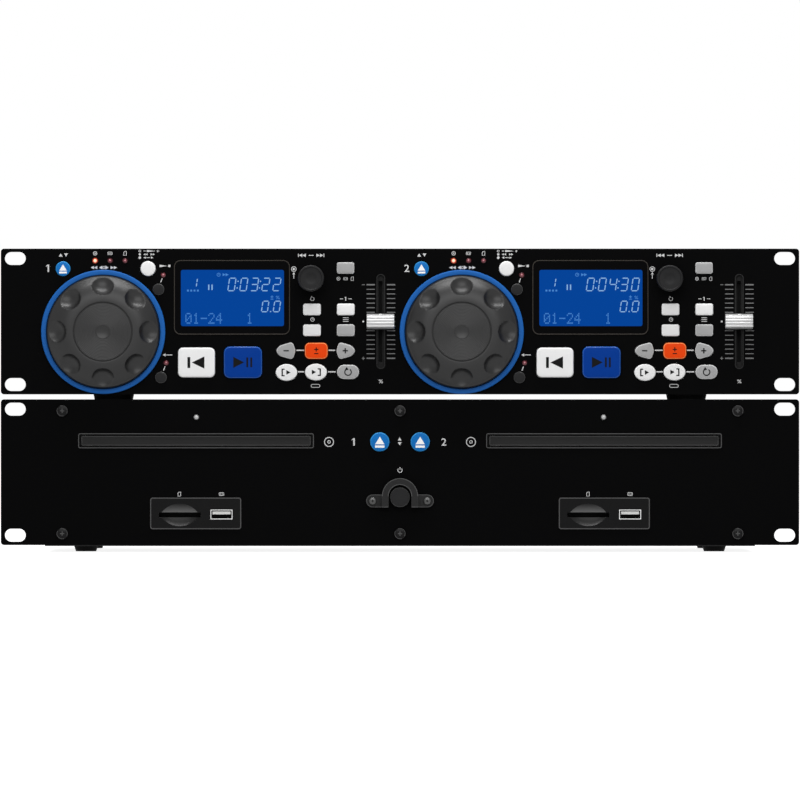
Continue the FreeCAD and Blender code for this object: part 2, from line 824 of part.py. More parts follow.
def jog_wheel(deck):
    """finger wheel: domed shoulder with eight finger dimples, flat insert, hollow back and shaft"""
    body = new_body(f"jog_wheel_{deck}", f"jog_x + {decks[deck]}", "face_y", "control_z + jog_z")
    side = sketch_on(body, "XY_Plane")
    insert = "jog_insert_wide / 2"
    inner = "jog_wide / 2 - jog_wall"
    profile(side, [
        ("0", "-jog_out + jog_well_deep"),
        ("jog_well_wide / 2", "-jog_out + jog_well_deep", "small_round"),
        ("jog_well_wide / 2 + jog_well_flare", "-jog_out", "small_round"),
        (insert, "-jog_out"),
        (insert, "-jog_out + jog_groove"),
        (f"{insert} + jog_groove", "-jog_out + jog_groove"),
        (f"{insert} + jog_groove", "-jog_out"),
        ("jog_shoulder / 2", "-jog_out", "jog_shoulder_round"),
        ("jog_wide / 2", "-jog_rim_out", "jog_rim_round"),
        ("jog_wide / 2", "-jog_gap"),
        (inner, "-jog_gap"),
        (inner, "-jog_web"),
        ("jog_hub_wide / 2", "-jog_web"),
        ("jog_hub_wide / 2", "-jog_gap"),
        ("jog_shaft_wide / 2", "-jog_gap"),
        ("jog_shaft_wide / 2", "board_y - shaft_end_gap"),
        ("0", "board_y - shaft_end_gap"),
    ])
    revolve(body, side)
    ball = body.newObject("PartDesign::SubtractiveSphere", body.Name + "_dimple")
    bind(ball, Radius="dimple_ball")
    place(ball, "0", "-jog_out - dimple_ball + dimple_deep + dimple_drop", "dimple_place")
    body.Tip = ball
    ring = body.newObject("PartDesign::PolarPattern", body.Name + "_dimples")
    ring.Originals = [ball]
    ring.Axis = ([item for item in body.Origin.OriginFeatures if item.Role == "Y_Axis"][0], [""])
    ring.Occurrences = 8
    ring.Angle = 360
    body.Tip = ring
    node(f"jog_wheel_{deck}", body)


def search_shaft(deck):
    """spindle of the track knob, which is pushed in"""
    body = new_body(f"search_shaft_{deck}", f"search_x + {decks[deck]}", "face_y", "control_z + search_z")
    section = sketch_on(body, depth="-spindle_reach")
    circle(section, "0", "0", "spindle_wide")
    pad(body, section, "spindle_reach + board_y - search_travel - 2 * shaft_end_gap")
    node(f"search_shaft_{deck}", body)


def search_knob(deck):
    """track knob: slightly tapered, rounded front, bored for its spindle"""
    body = new_body(f"search_knob_{deck}", f"search_x + {decks[deck]}", "face_y", "control_z + search_z")
    side = sketch_on(body, "XY_Plane")
    bore = "spindle_wide / 2 + shaft_gap"
    profile(side, [
        ("0", "-search_out"),
        ("search_tip_wide / 2", "-search_out", "search_round"),
        ("search_wide / 2", "-search_gap - search_travel", "small_round"),
        (bore, "-search_gap - search_travel"),
        (bore, "-spindle_reach - fit_gap"),
        ("0", "-spindle_reach - fit_gap"),
    ])
    revolve(body, side)
    node(f"search_knob_{deck}", body)


def pitch_fader(deck):
    """slider cap with sloping faces and a centre notch, on a flat stem through the panel"""
    body = new_body(f"pitch_fader_{deck}", f"fader_x + {decks[deck]}", "face_y", "control_z")
    side = sketch_on(body, "YZ_Plane")
    profile(side, [
        ("-fader_cap_gap", "-fader_cap_high / 2"),
        ("-fader_cap_gap", "fader_cap_high / 2"),
        ("-fader_cap_out", "fader_cap_top / 2", "fader_round"),
        ("-fader_cap_out", "fader_notch / 2"),
        ("-fader_cap_out + fader_notch / 2", "0"),
        ("-fader_cap_out", "-fader_notch / 2"),
        ("-fader_cap_out", "-fader_cap_top / 2", "fader_round"),
    ])
    pad_between(body, side, "fader_cap_wide")
    stem = sketch_on(body, depth="-fader_cap_gap")
    block(stem, "0", "0", "fader_stem_wide", "fader_stem_high")
    pad(body, stem, "fader_cap_gap + board_y - fader_floor - shaft_end_gap")
    node(f"pitch_fader_{deck}", body)


def disc_tray(deck):
    """tray: narrow door in front, plate behind it with seats for two disc sizes and a well for the turntable"""
    side = sides[deck]
    body = new_body(f"disc_tray_{deck}", f"{side} * tray_x", "face_y", "tray_level")
    door = sketch_on(body)
    block(door, "0", "0", "door_wide", "door_high", "door_corner")
    pad(body, door, "door_thick")
    plate = sketch_on(body, depth="door_thick")
    block(plate, "0", "0", "tray_wide", "tray_thick")
    pad(body, plate, "tray_deep")
    seat = sketch_on(body, "XY_Plane", "tray_thick / 2")
    circle(seat, "0", "disc_y", "disc_wide")
    pocket(body, seat, "tray_thick - tray_floor")
    small_seat = sketch_on(body, "XY_Plane", "tray_floor - tray_thick / 2")
    circle(small_seat, "0", "disc_y", "small_disc_wide")
    pocket(body, small_seat, "small_disc_deep")
    well = sketch_on(body, "XY_Plane", "tray_floor - tray_thick / 2")
    block(well, "0", "disc_y + well_shift", "well_wide", "well_wide + 2 * well_shift", "well_corner")
    pocket(body, well, "tray_floor")
    node(f"disc_tray_{deck}", body)


def control_panel_trim():
    """fixed blue rings round the wheels, and display windows"""
    body = new_body("control_panel_trim", "0", "face_y", "control_z")
    rings = sketch_on(body, depth="-ring_out")
    windows = sketch_on(body, depth="-window_out")
    for shift in decks.values():
        circle(rings, f"jog_x + {shift}", "jog_z", "ring_wide")
        circle(rings, f"jog_x + {shift}", "jog_z", "jog_wide + 2 * ring_gap")
        block(windows, f"window_x + {shift}", "window_z", "window_wide", "window_high", "window_corner")
    pad(body, rings, "ring_out")
    pad(body, windows, "window_out + panel_thick")
    node("control_panel_trim", body)


def drive_panel_trim():
    """tray bezels, media port plates and the guard round the power switch"""
    body = new_body("drive_panel_trim", "0", "face_y", "drive_z")
    bezels = sketch_on(body, depth="-bezel_out")
    plates = sketch_on(body, depth="-port_out")
    bodies = sketch_on(body)
    thumbs = sketch_on(body, depth="-port_out")
    ways = sketch_on(body, depth="-port_out")
    for side in sides.values():
        block(bezels, f"{side} * tray_x", "tray_z", "bezel_wide", "bezel_high", "bezel_corner")
        block(bezels, f"{side} * tray_x", "tray_z", "door_open_wide", "door_open_high", "bezel_corner / 2")
        block(plates, f"{side} * port_x", "port_z", "port_wide", "port_high", "port_corner")
        block(bodies, f"{side} * port_x", "port_z", "port_body_wide", "port_body_high", "port_corner")
        lens(thumbs, f"{side} * port_x + card_x", "port_z + card_z", "thumb_wide", "thumb_high")
        block(ways, f"{side} * port_x + card_x", "port_z + card_z", "card_wide", "card_high", "small_round")
        block(ways, f"{side} * port_x + plug_x", "port_z + plug_z", "plug_wide + 2 * fit_gap",
              "plug_high + 2 * fit_gap")
    pad(body, bezels, "bezel_out")
    pad(body, plates, "port_out")
    pad(body, bodies, "port_body_deep")
    pocket(body, thumbs, "thumb_deep")
    pocket(body, ways, "port_out + port_body_deep")
    arch = sketch_on(body, depth="-guard_out")
    circle(arch, "0", "guard_z", "guard_wide")
    pad(body, arch, "guard_out")
    legs = sketch_on(body, depth="-guard_out")
    block(legs, "0", "(guard_z + guard_low) / 2", "guard_wide", "guard_z - guard_low")
    pad(body, legs, "guard_out")
    ears = sketch_on(body, depth="-ear_out")
    pill(ears, "0", "ear_z", "ear_wide", "ear_high")
    pad(body, ears, "ear_out")
    below = sketch_on(body, depth="-guard_out")
    block(below, "0", "guard_low - guard_wide / 2", "2 * guard_wide", "guard_wide")
    pocket(body, below, "guard_out")
    gap = sketch_on(body, depth="-guard_out")
    circle(gap, "0", "guard_z", "guard_bore")
    pocket(body, gap, "guard_out")
    way_down = sketch_on(body, depth="-guard_out")
    block(way_down, "0", "guard_z - guard_bore / 2", "guard_bore", "guard_bore")
    pocket(body, way_down, "guard_out")
    holes = sketch_on(body, depth="-ear_out")
    for side in sides.values():
        circle(holes, f"{side} * guard_screw_x", "ear_z", "screw_shank + fit_gap")
    pocket(body, holes, "ear_out")
    node("drive_panel_trim", body)


def lens(sketch, x, z, wide, high):
    """two shallow arcs that meet in points at the left and right"""
    half = number(wide) / 2
    rise = number(high) / 2
    radius = (half * half + rise * rise) / (2 * rise)
    middle = Vector(number(x), number(z), 0)
    spread = math.asin(half / radius)
    lower_centre = middle + Vector(0, rise - radius, 0)
    upper_centre = middle + Vector(0, radius - rise, 0)
    up = math.pi / 2
    axis = Vector(0, 0, 1)
    top_arc = Part.ArcOfCircle(Part.Circle(lower_centre, axis, radius), up - spread, up + spread)
    low_arc = Part.ArcOfCircle(Part.Circle(upper_centre, axis, radius), -up - spread, -up + spread)
    top = sketch.addGeometry(top_arc, False)
    low = sketch.addGeometry(low_arc, False)
    rules = [rule("Coincident", top, 2, low, 1), rule("Coincident", low, 2, top, 1)]
    rules.extend(spot(top, 1, f"{x} + {wide} / 2", z))
    rules.extend(spot(top, 2, f"{x} - {wide} / 2", z))
    size = f"({wide} * {wide} / 4 + {high} * {high} / 4) / {high}"
    rules.append(length("Radius", (top,), size))
    rules.append(length("Radius", (low,), size))
    settle(sketch, rules)


# Cases

def control_case():
    """one shell behind the panel, open to the front, with two link sockets and vents in its rear wall"""
    body = new_body("control_case", "0", "face_y", "control_floor")
    high = "control_top - control_floor"
    outer = sketch_on(body, depth="panel_thick")
    block(outer, "0", f"({high}) / 2", "case_wide", high)
    pad(body, outer, "control_deep - panel_thick")
    inner = sketch_on(body, depth="panel_thick")
    block(inner, "0", f"({high}) / 2", "case_wide - 2 * sheet_thick", f"{high} - 2 * sheet_thick")
    pocket(body, inner, "control_deep - panel_thick - sheet_thick")
    sockets = sketch_on(body, depth="control_deep - sheet_thick")
    for side in sides.values():
        circle(sockets, f"{side} * link_x", "link_z", "link_wide + fit_gap")
    pocket(body, sockets, "sheet_thick")
    vent = sketch_on(body, depth="control_deep - sheet_thick")
    block(vent, f"-{case_vents - 1} / 2 * vent_pitch", "control_top - control_floor - vent_long", "vent_wide",
          "vent_long / 2", "vent_corner")
    row_of(body, pocket(body, vent, "sheet_thick"), case_vents, "vent_pitch")
    node("control_case", body)


def drive_chassis():
    """tub: floor, sides, rear wall, a front frame for the panel, and standoffs for the boards"""
    body = new_body("drive_chassis", "0", "face_y", "drive_floor")
    high = "drive_top - sheet_thick - drive_floor"
    wide = "case_wide - 2 * sheet_thick - 2 * fit_gap"
    outer = sketch_on(body, depth="panel_thick")
    block(outer, "0", f"({high}) / 2", wide, high)
    pad(body, outer, "drive_deep - panel_thick")
    inner = sketch_on(body, "XY_Plane", high)
    middle = "(panel_thick + drive_deep) / 2"
    block(inner, "0", middle, f"{wide} - 2 * sheet_thick", "drive_deep - panel_thick - 2 * sheet_thick")
    pocket(body, inner, f"{high} - sheet_thick")
    window = sketch_on(body, depth="panel_thick")
    block(window, "0", "panel_high / 2 + drive_sill", f"{wide} - 2 * sheet_thick",
          "2 * screw_z - screw_head_wide")
    pocket(body, window, "sheet_thick")
    screw_holes = sketch_on(body, depth="panel_thick")
    for x, z in panel_screw_places():
        circle(screw_holes, x, f"{z} + drive_z - drive_floor", "screw_shank + fit_gap")
    for side in sides.values():
        circle(screw_holes, f"{side} * drive_lamp_x", "drive_lamp_z + drive_z - drive_floor",
               "lamp_wide + 2 * fit_gap")
    pocket(body, screw_holes, "sheet_thick")
    rear = sketch_on(body, depth="drive_deep - sheet_thick")
    for x, z in jack_places():
        circle(rear, x, f"{z} - drive_floor", "jack_wide + fit_gap")
    for side in sides.values():
        circle(rear, f"{side} * link_x + link_x", "inlet_z - drive_floor", "link_wide + fit_gap")
    block(rear, "inlet_x", "inlet_z - drive_floor", "inlet_wide + 2 * fit_gap", "inlet_high + 2 * fit_gap")
    pocket(body, rear, "sheet_thick")
    standoffs = sketch_on(body, "XY_Plane", "sheet_thick")
    for x, y in standoff_places():
        circle(standoffs, x, y, "standoff_wide")
    pad(body, standoffs, "standoff_high", forward=True)
    side_holes = sketch_on(body, "YZ_Plane", f"-({wide}) / 2")
    for step in range(2):
        circle(side_holes, f"cover_screw_y + {step} * cover_screw_pitch", f"{high} - cover_lip / 2",
               "screw_shank + fit_gap")
    pocket(body, side_holes, wide, forward=True)
    node("drive_chassis", body)


def standoff_places():
    places = []
    for x in ("-(main_board_wide / 2 - standoff_wide)", "main_board_wide / 2 - standoff_wide"):
        for y in ("main_board_front + standoff_wide", "main_board_front + main_board_deep - standoff_wide"):
            places.append((x, y))
    for x in ("tray_x - servo_board_wide / 2 + standoff_wide", "tray_x + servo_board_wide / 2 - standoff_wide"):
        for y in ("main_board_front + standoff_wide", "main_board_front + servo_board_deep - standoff_wide"):
            places.append((x, y))
    return places


def jack_places():
    return [(f"jack_x - {step} * jack_pitch_x", f"jack_z + {row} * jack_pitch_z") for step in range(4)
            for row in range(2)]


def drive_top_cover():
    """lid with lips outside the chassis sides and two rows of vents"""
    body = new_body("drive_top_cover", "0", "face_y", "drive_top")
    lid = sketch_on(body, depth="panel_thick")
    block(lid, "0", "-cover_lip / 2", "case_wide", "cover_lip")
    pad(body, lid, "drive_deep - panel_thick")
    under = sketch_on(body, depth="panel_thick")
    block(under, "0", "-cover_lip / 2 - sheet_thick / 2", "case_wide - 2 * sheet_thick",
          "cover_lip - sheet_thick")
    pocket(body, under, "drive_deep - panel_thick")
    for start in (f"-vent_field - {cover_vents - 1} * vent_pitch", "vent_field"):
        vent = sketch_on(body, "XY_Plane")
        block(vent, start, "drive_deep - vent_long", "vent_wide", "vent_long", "vent_corner")
        row_of(body, pocket(body, vent, "sheet_thick"), cover_vents, "vent_pitch")
    side_holes = sketch_on(body, "YZ_Plane", "-case_wide / 2")
    for step in range(2):
        circle(side_holes, f"cover_screw_y + {step} * cover_screw_pitch", "-sheet_thick - cover_lip / 2",
               "screw_shank + fit_gap")
    pocket(body, side_holes, "case_wide", forward=True)
    node("drive_top_cover", body)


def foot(label, x, y, level, wide, high):
    """tapered rubber foot with a screw hole"""
    cone = doc.addObject("Part::Cone", label)
    bind(cone, Radius1=f"{wide} / 2 - foot_taper", Radius2=f"{wide} / 2", Height=high)
    place(cone, x, y, level)
    hole = rod(label + "_hole", x, y, level, "foot_bore", f"{high} / 2", "z")
    return cut(label + "_bored", cone, hole)


def feet(label, x, level, wide, high, front, rear):
    parts = []
    for side in sides.values():
        for row, y in (("front", front), ("rear", rear)):
            name = f"{label}_{row}_{'left' if side == '-1' else 'right'}"
            parts.append(foot(name, f"{side} * {x}", y, level, wide, high))
    group(label, parts)


# Inner works

def disc_loaders():
    parts = []
    for deck, side in sides.items():
        x = f"{side} * tray_x"
        tag = f"loader_{deck}_"
        parts.append(brick(tag + "base", x, "face_y + loader_front", "loader_floor", "2 * loader_half",
                           "loader_deep",
                           "loader_base"))
        for hand in ("-1", "1"):
            wall_x = f"{x} + {hand} * (rail_outer + loader_wall / 2)"
            rail_x = f"{x} + {hand} * (rail_outer + rail_inner) / 2"
            walls = tag + ("left" if hand == "-1" else "right")
            wall = brick(walls + "_wall", wall_x, "face_y + loader_front", "loader_floor + loader_base",
                         "loader_wall",
                         "loader_deep", "loader_top - loader_floor - loader_base")
            rail = brick(walls + "_rail", rail_x, "face_y + loader_front", "tray_low - rail_gap - rail_high",
                         "rail_outer - rail_inner", "loader_deep", "rail_high")
            parts.append(join(walls, wall, rail))
            for row, y in (("front", "leg_front"), ("rear", "leg_rear")):
                leg_x = f"{x} + {hand} * (loader_half - leg_wide / 2)"
                parts.append(rod(f"{walls}_{row}_leg", leg_x, f"face_y + {y}", "inner_floor", "leg_wide",
                                 "loader_floor - inner_floor", "z"))
        parts.append(brick(tag + "bridge", x, "face_y + disc_y - bridge_deep / 2", "loader_top",
                           "2 * loader_half",
                           "bridge_deep", "bridge_thick"))
        parts.append(rod(tag + "clamp", x, "face_y + disc_y", "loader_top - clamp_high", "clamp_wide",
                         "clamp_high", "z"))
        hub = "tray_low - turntable_gap - turntable_high"
        parts.append(rod(tag + "turntable", x, "face_y + disc_y", hub, "turntable_wide", "turntable_high", "z"))
        parts.append(rod(tag + "spin_motor", x, "face_y + disc_y", "loader_floor + loader_base", "motor_wide",
                         f"{hub} - loader_floor - loader_base", "z"))
        sled = brick(tag + "sled_block", x, "face_y + disc_y + sled_front",
                     "loader_floor + loader_base + rod_wide",
                     "sled_wide", "sled_deep", "sled_high")
        lens_y = "face_y + disc_y + sled_front + sled_deep / 2"
        eye = rod(tag + "lens", x, lens_y, "loader_floor + loader_base + rod_wide + sled_high", "rod_wide * 2",
                  "rod_wide / 2", "z")
        rods = []
        for hand in ("-1", "1"):
            rod_x = f"{x} + {hand} * (sled_wide / 2 - rod_wide)"
            rods.append(rod(f"{tag}{'left' if hand == '-1' else 'right'}_rod", rod_x,
                            "face_y + disc_y + motor_wide / 2 + rod_gap",
                            "loader_floor + loader_base + rod_wide * 1.5 + rod_gap", "rod_wide", "rod_long"))
        rod_block = brick(tag + "rod_block", x, "face_y + disc_y + motor_wide / 2 + rod_gap + rod_long",
                          "loader_floor + loader_base", "sled_wide", "rod_block_deep", "rod_wide * 3")
        parts.append(cut(tag + "sled", join(tag + "sled_and_lens", sled, eye), *rods))
        parts.extend(rods)
        parts.append(rod_block)
        parts.append(rod(tag + "tray_motor", f"{x} + tray_motor_x", "face_y + loader_front + tray_motor_y",
                         "loader_floor + loader_base", "motor_wide", "tray_motor_high", "z"))
    group("disc_loaders", parts)


def switch(label, x, z, level, face="stem_y", back="board_y"):
    """key switch on a board: square body and round plunger"""
    high = f"({back}) - ({face})"
    case = brick(label + "_case", x, f"face_y + {face} + ({high}) / 4", f"{level} + {z} - switch_wide / 2",
                 "switch_wide", f"({high}) * 3 / 4", "switch_wide")
    plunger = rod(label + "_plunger", x, f"face_y + {face}", f"{level} + {z}", "switch_stem * 2",
                  f"({high}) / 4")
    return join(label, case, plunger)


def control_electronics():
    half = "(control_top - control_floor) / 2 - sheet_thick - board_margin"
    parts = [brick("control_board", "0", "face_y + board_y", f"control_z - ({half})",
                   "case_wide - 2 * sheet_thick - 2 * board_margin", "board_thick", f"2 * ({half})")]
    for deck, shift in decks.items():
        tag = f"deck_{deck}_"
        for name in buttons:
            parts.append(switch(tag + name.replace("button", "switch"), f"{name}_x + {shift}", f"{name}_z",
                                "control_z"))
        bearing = rod(tag + "bearing_block", f"jog_x + {shift}", "face_y + panel_thick", "control_z + jog_z",
                      "bearing_wide", "board_y - panel_thick")
        bore = rod(tag + "bearing_bore", f"jog_x + {shift}", "face_y + panel_thick", "control_z + jog_z",
                   "jog_shaft_wide + 2 * shaft_gap", "board_y - panel_thick")
        parts.append(cut(tag + "jog_bearing", bearing, bore))
        encoder = brick(tag + "encoder_block", f"search_x + {shift}", "face_y + panel_thick",
                        "control_z + search_z - encoder_wide / 2", "encoder_wide", "board_y - panel_thick",
                        "encoder_wide")
        encoder_bore = rod(tag + "encoder_bore", f"search_x + {shift}", "face_y + panel_thick",
                           "control_z + search_z",
                           "spindle_wide + 2 * shaft_gap", "board_y - panel_thick")
        parts.append(cut(tag + "search_encoder", encoder, encoder_bore))
        fader = brick(tag + "fader_block", f"fader_x + {shift}", "face_y + panel_thick",
                      "control_z - fader_body_high / 2", "fader_body_wide", "board_y - panel_thick",
                      "fader_body_high")
        track_high = "fader_stem_high + 2 * fader_travel + 2 * fader_stem_gap"
        track = brick(tag + "fader_track", f"fader_x + {shift}", "face_y + panel_thick",
                      f"control_z - ({track_high}) / 2",
                      "fader_stem_wide + 2 * fader_stem_gap", "board_y - panel_thick - fader_floor", track_high)
        parts.append(cut(tag + "fader_body", fader, track))
        parts.append(brick(tag + "display", f"window_x + {shift}", "face_y + panel_thick",
                           "control_z + window_z - display_high / 2", "display_wide", "board_y - panel_thick",
                           "display_high"))
        for index, (x, z) in enumerate(lamp_places(deck)):
            parts.append(rod(f"{tag}lamp_{index}", x, "face_y - lamp_out", f"control_z + {z}", "lamp_wide",
                             "board_y + lamp_out"))
    for deck, side in sides.items():
        parts.append(link_socket(f"control_link_{deck}", f"{side} * link_x", "control_deep",
                                 "control_floor + link_z"))
    group("control_electronics", parts)


def link_socket(label, x, rear, level):
    """round socket for the lead between the units, through a rear wall"""
    barrel = rod(label + "_barrel", x, f"face_y + {rear} - link_deep", level, "link_wide",
                 "link_deep + link_out")
    mouth = rod(label + "_mouth", x, f"face_y + {rear} + link_out - link_mouth_deep", level, "link_mouth_wide",
                "link_mouth_deep")
    return cut(label, barrel, mouth)


def drive_electronics():
    """boards, supply, card readers, switches, lamps and rear sockets of the drive unit"""
    parts = [brick("main_board", "0", "face_y + main_board_front", "board_level", "main_board_wide",
                   "main_board_deep",
                   "board_thick"),
             brick("servo_board", "tray_x", "face_y + main_board_front", "board_level", "servo_board_wide",
                   "servo_board_deep", "board_thick")]
    for index, x in enumerate(("-chip_x", "chip_x")):
        parts.append(brick(f"main_chip_{index}", x, "face_y + main_board_front + chip_front",
                           "board_level + board_thick",
                           "chip_wide", "chip_wide", "chip_high"))
        parts.append(rod(f"supply_can_{index}", x, "face_y + main_board_front + can_front",
                         "board_level + board_thick",
                         "can_wide", "can_high", "z"))
    for index in range(2):
        y = f"face_y + main_board_front + servo_chip_front + {index} * servo_chip_pitch"
        parts.append(brick(f"servo_chip_{index}", "tray_x", y, "board_level + board_thick", "chip_wide",
                           "chip_wide",
                           "chip_high"))
    core_y = "face_y + drive_deep - sheet_thick - core_gap - core_deep"
    core = brick("transformer_core", "-tray_x", core_y, "inner_floor", "core_wide", "core_deep", "core_high")
    coil = brick("transformer_coil", "-tray_x", f"{core_y} - coil_out", "inner_floor + coil_inset", "coil_wide",
                 "core_deep + 2 * coil_out", "core_high - 2 * coil_inset")
    parts.append(join("transformer", core, coil))
    half = "open_z + open_wide"
    board = brick("front_board_blank", "0", "face_y + board_y", f"drive_z - ({half})", "front_board_wide",
                  "board_thick", f"2 * ({half})")
    way = brick("front_board_way", "0", "face_y + board_y", "drive_z + power_z - power_case_wide / 2 - fit_gap",
                "power_case_wide + 2 * fit_gap", "board_thick", "power_case_wide + 2 * fit_gap")
    parts.append(cut("front_board", board, way))
    for deck, side in sides.items():
        parts.append(switch(f"open_switch_{deck}", f"{side} * open_x", "open_z", "drive_z"))
        lamp_x = f"{side} * drive_lamp_x"
        parts.append(rod(f"drive_lamp_{deck}", lamp_x, "face_y - lamp_out", "drive_z + drive_lamp_z",
                         "lamp_wide",
                         "lamp_out + board_y"))
        parts.append(brick(f"lamp_board_{deck}", lamp_x, "face_y + board_y",
                           "drive_z + drive_lamp_z - lamp_board_high / 2",
                           "lamp_board_wide", "board_thick", "lamp_board_high"))
        parts.extend(media_port(deck, f"{side} * port_x"))
    parts.append(power_switch())
    for index, (x, z) in enumerate(jack_places()):
        parts.append(jack(f"jack_{index}", x, z))
    for deck, side in sides.items():
        parts.append(link_socket(f"drive_link_{deck}", f"{side} * link_x + link_x", "drive_deep", "inlet_z"))
    parts.extend(mains_inlet())
    group("drive_electronics", parts)


def power_switch():
    """case and plunger behind the power button"""
    face = "flange_y + flange_thick + power_travel + fit_gap"
    case = brick("power_switch_case", "0", f"face_y + {face} + power_plunger_long",
                 "drive_z + power_z - power_case_wide / 2", "power_case_wide", "power_case_deep",
                 "power_case_wide")
    plunger = rod("power_switch_plunger", "0", f"face_y + {face}", "drive_z + power_z", "power_plunger_wide",
                  "power_plunger_long")
    return join("power_switch", case, plunger)


def media_port(deck, x):
    """card reader and plug socket behind one port plate, on a small board"""
    back = "face_y + port_body_deep"
    level = "drive_z + port_z"
    card_x = f"{x} + card_x"
    reader = brick(f"reader_{deck}_case", card_x, back, f"{level} + card_z - card_high",
                   "card_wide + 2 * reader_wall", "card_deep", "2 * card_high")
    slot = brick(f"reader_{deck}_slot", card_x, back, f"{level} + card_z - card_high / 2", "card_wide",
                 "card_deep - reader_wall", "card_high")
    plug_x = f"{x} + plug_x"
    shell = brick(f"plug_{deck}_shell", plug_x, "face_y - port_out", f"{level} + plug_z - plug_high / 2",
                  "plug_wide",
                  "plug_deep", "plug_high")
    hollow = brick(f"plug_{deck}_hollow", plug_x, "face_y - port_out",
                   f"{level} + plug_z - plug_high / 2 + plug_wall",
                   "plug_wide - 2 * plug_wall", "plug_deep - plug_floor", "plug_high - 2 * plug_wall")
    tongue = brick(f"plug_{deck}_tongue", plug_x, "face_y - port_out + tongue_inset",
                   f"{level} + plug_z + tongue_rise", "plug_wide - 2 * tongue_gap",
                   "plug_deep - plug_floor - tongue_inset", "plug_tongue")
    board = brick(f"port_board_{deck}", x, back, f"{level} + card_z - card_high - board_thick",
                  "port_body_wide",
                  "card_deep", "board_thick")
    return [cut(f"card_reader_{deck}", reader, slot),
            join(f"plug_socket_{deck}", cut(f"plug_{deck}_box", shell, hollow), tongue), board]


def jack(label, x, z):
    """signal socket: barrel through the rear wall, with its housing inside"""
    wall = "face_y + drive_deep - sheet_thick"
    base = brick(label + "_base", x, f"{wall} - jack_base", f"{z} - jack_base / 2", "jack_base", "jack_base",
                 "jack_base")
    barrel = rod(label + "_barrel", x, wall, z, "jack_wide", "sheet_thick + jack_out")
    bore = rod(label + "_bore", x, wall, z, "jack_bore", "sheet_thick + jack_out")
    return cut(label, join(label + "_solid", base, barrel), bore)


def mains_inlet():
    """three-pin inlet: flange outside the rear wall, deep shell inside"""
    rear = "face_y + drive_deep"
    low = "inlet_z - inlet_high / 2"
    flange = brick("inlet_flange", "inlet_x", rear, f"{low} - inlet_flange", "inlet_wide + 2 * inlet_flange",
                   "inlet_wall", "inlet_high + 2 * inlet_flange")
    shell = brick("inlet_shell", "inlet_x", f"{rear} - inlet_deep", low, "inlet_wide", "inlet_deep",
                  "inlet_high")
    hollow = brick("inlet_hollow", "inlet_x", f"{rear} + inlet_wall - inlet_deep", f"{low} + inlet_wall",
                   "inlet_wide - 2 * inlet_wall", "inlet_deep", "inlet_high - 2 * inlet_wall")
    pins = []
    for index, rise in enumerate(("-pin_drop", "pin_drop", "-pin_drop")):
        pins.append(brick(f"inlet_pin_{index}", f"inlet_x + {index - 1} * pin_pitch",
                          f"{rear} + inlet_wall - inlet_deep", f"inlet_z + {rise} - pin_high / 2", "pin_wide",
                          "pin_long", "pin_high"))
    return [cut("inlet_housing", join("inlet_body", flange, shell), hollow)] + pins


def cross_screw(label, x, y, z, head, long):
    """domed head with a cross recess in front of y, shank behind it"""
    dome = rod(label + "_head", x, f"{y} - screw_head_high", z, head, "screw_head_high")
    shank = rod(label + "_shank", x, y, z, "screw_shank", long)
    flat = brick(label + "_flat", x, f"{y} - screw_head_high", f"{z} - cross_wide / 2", "cross_long",
                 "cross_deep",
                 "cross_wide")
    upright = brick(label + "_upright", x, f"{y} - screw_head_high", f"{z} - cross_long / 2", "cross_wide",
                    "cross_deep",
                    "cross_long")
    return cut(label, join(label + "_blank", dome, shank), flat, upright)


def side_screw(label, side, y, z):
    """cover screw through a side of the drive unit"""
    thing = doc.addObject("Part::Cylinder", label + "_head")
    bind(thing, Radius="screw_head_wide / 2", Height="screw_head_high")
    shank = doc.addObject("Part::Cylinder", label + "_shank")
    bind(shank, Radius="screw_shank / 2", Height="screw_long")
    for piece in (thing, shank):
        piece.Placement = Placement(Vector(), Rotation(Vector(0, 1, 0), 90))
    outer = f"{side} * case_wide / 2"
    place(thing, outer if side == "1" else f"{outer} - screw_head_high", y, z)
    place(shank, f"{outer} - screw_long" if side == "1" else outer, y, z)
    return join(label, thing, shank)


def drive_screws():
    parts = []
    for index, (x, z) in enumerate(panel_screw_places()):
        parts.append(cross_screw(f"panel_screw_{index}", x, "face_y", f"drive_z + {z}", "screw_head_wide",
                                 "screw_long"))
    for deck, side in sides.items():
        parts.append(cross_screw(f"guard_screw_{deck}", f"{side} * guard_screw_x", "face_y - ear_out",
                                 "drive_z + ear_z", "small_head_wide", "ear_out + screw_long / 2"))
        for step in range(2):
            parts.append(side_screw(f"cover_screw_{deck}_{step}", side,
                                    f"face_y + cover_screw_y + {step} * cover_screw_pitch",
                                    "drive_top - sheet_thick - cover_lip / 2"))
    group("drive_screws", parts)


# The parts

drive_front_panel()
drive_chassis()
drive_top_cover()
drive_panel_trim()
disc_loaders()
drive_electronics()
drive_screws()
feet("drive_feet", "drive_foot_x", "0", "drive_foot_wide", "drive_foot_high",
     "face_y + drive_foot_front", "face_y + drive_deep - drive_foot_rear")
control_front_panel()
control_case()
control_panel_trim()
control_electronics()
feet("control_feet", "control_foot_x", "drive_top", "control_foot_wide", "control_foot_high",
     "face_y + control_foot_front", "face_y + control_deep - control_foot_rear")
for deck in decks:
    disc_tray(deck)
    pressed(f"drive_eject_button_{deck}", lambda sketch, grow: circle(sketch, "0", "0",
                                                                      f"open_wide + 2 * {grow}"),
            "open_out", "button_travel", f"{sides[deck]} * open_x", "open_z", "drive_z")
    jog_wheel(deck)
    search_shaft(deck)
    search_knob(deck)
    pitch_fader(deck)
    for name in buttons:
        deck_button(name, deck)
pressed("power_button", lambda sketch, grow: circle(sketch, "0", "0", f"power_wide + 2 * {grow}"),
        "power_out", "power_travel", "0", "power_z", "drive_z")

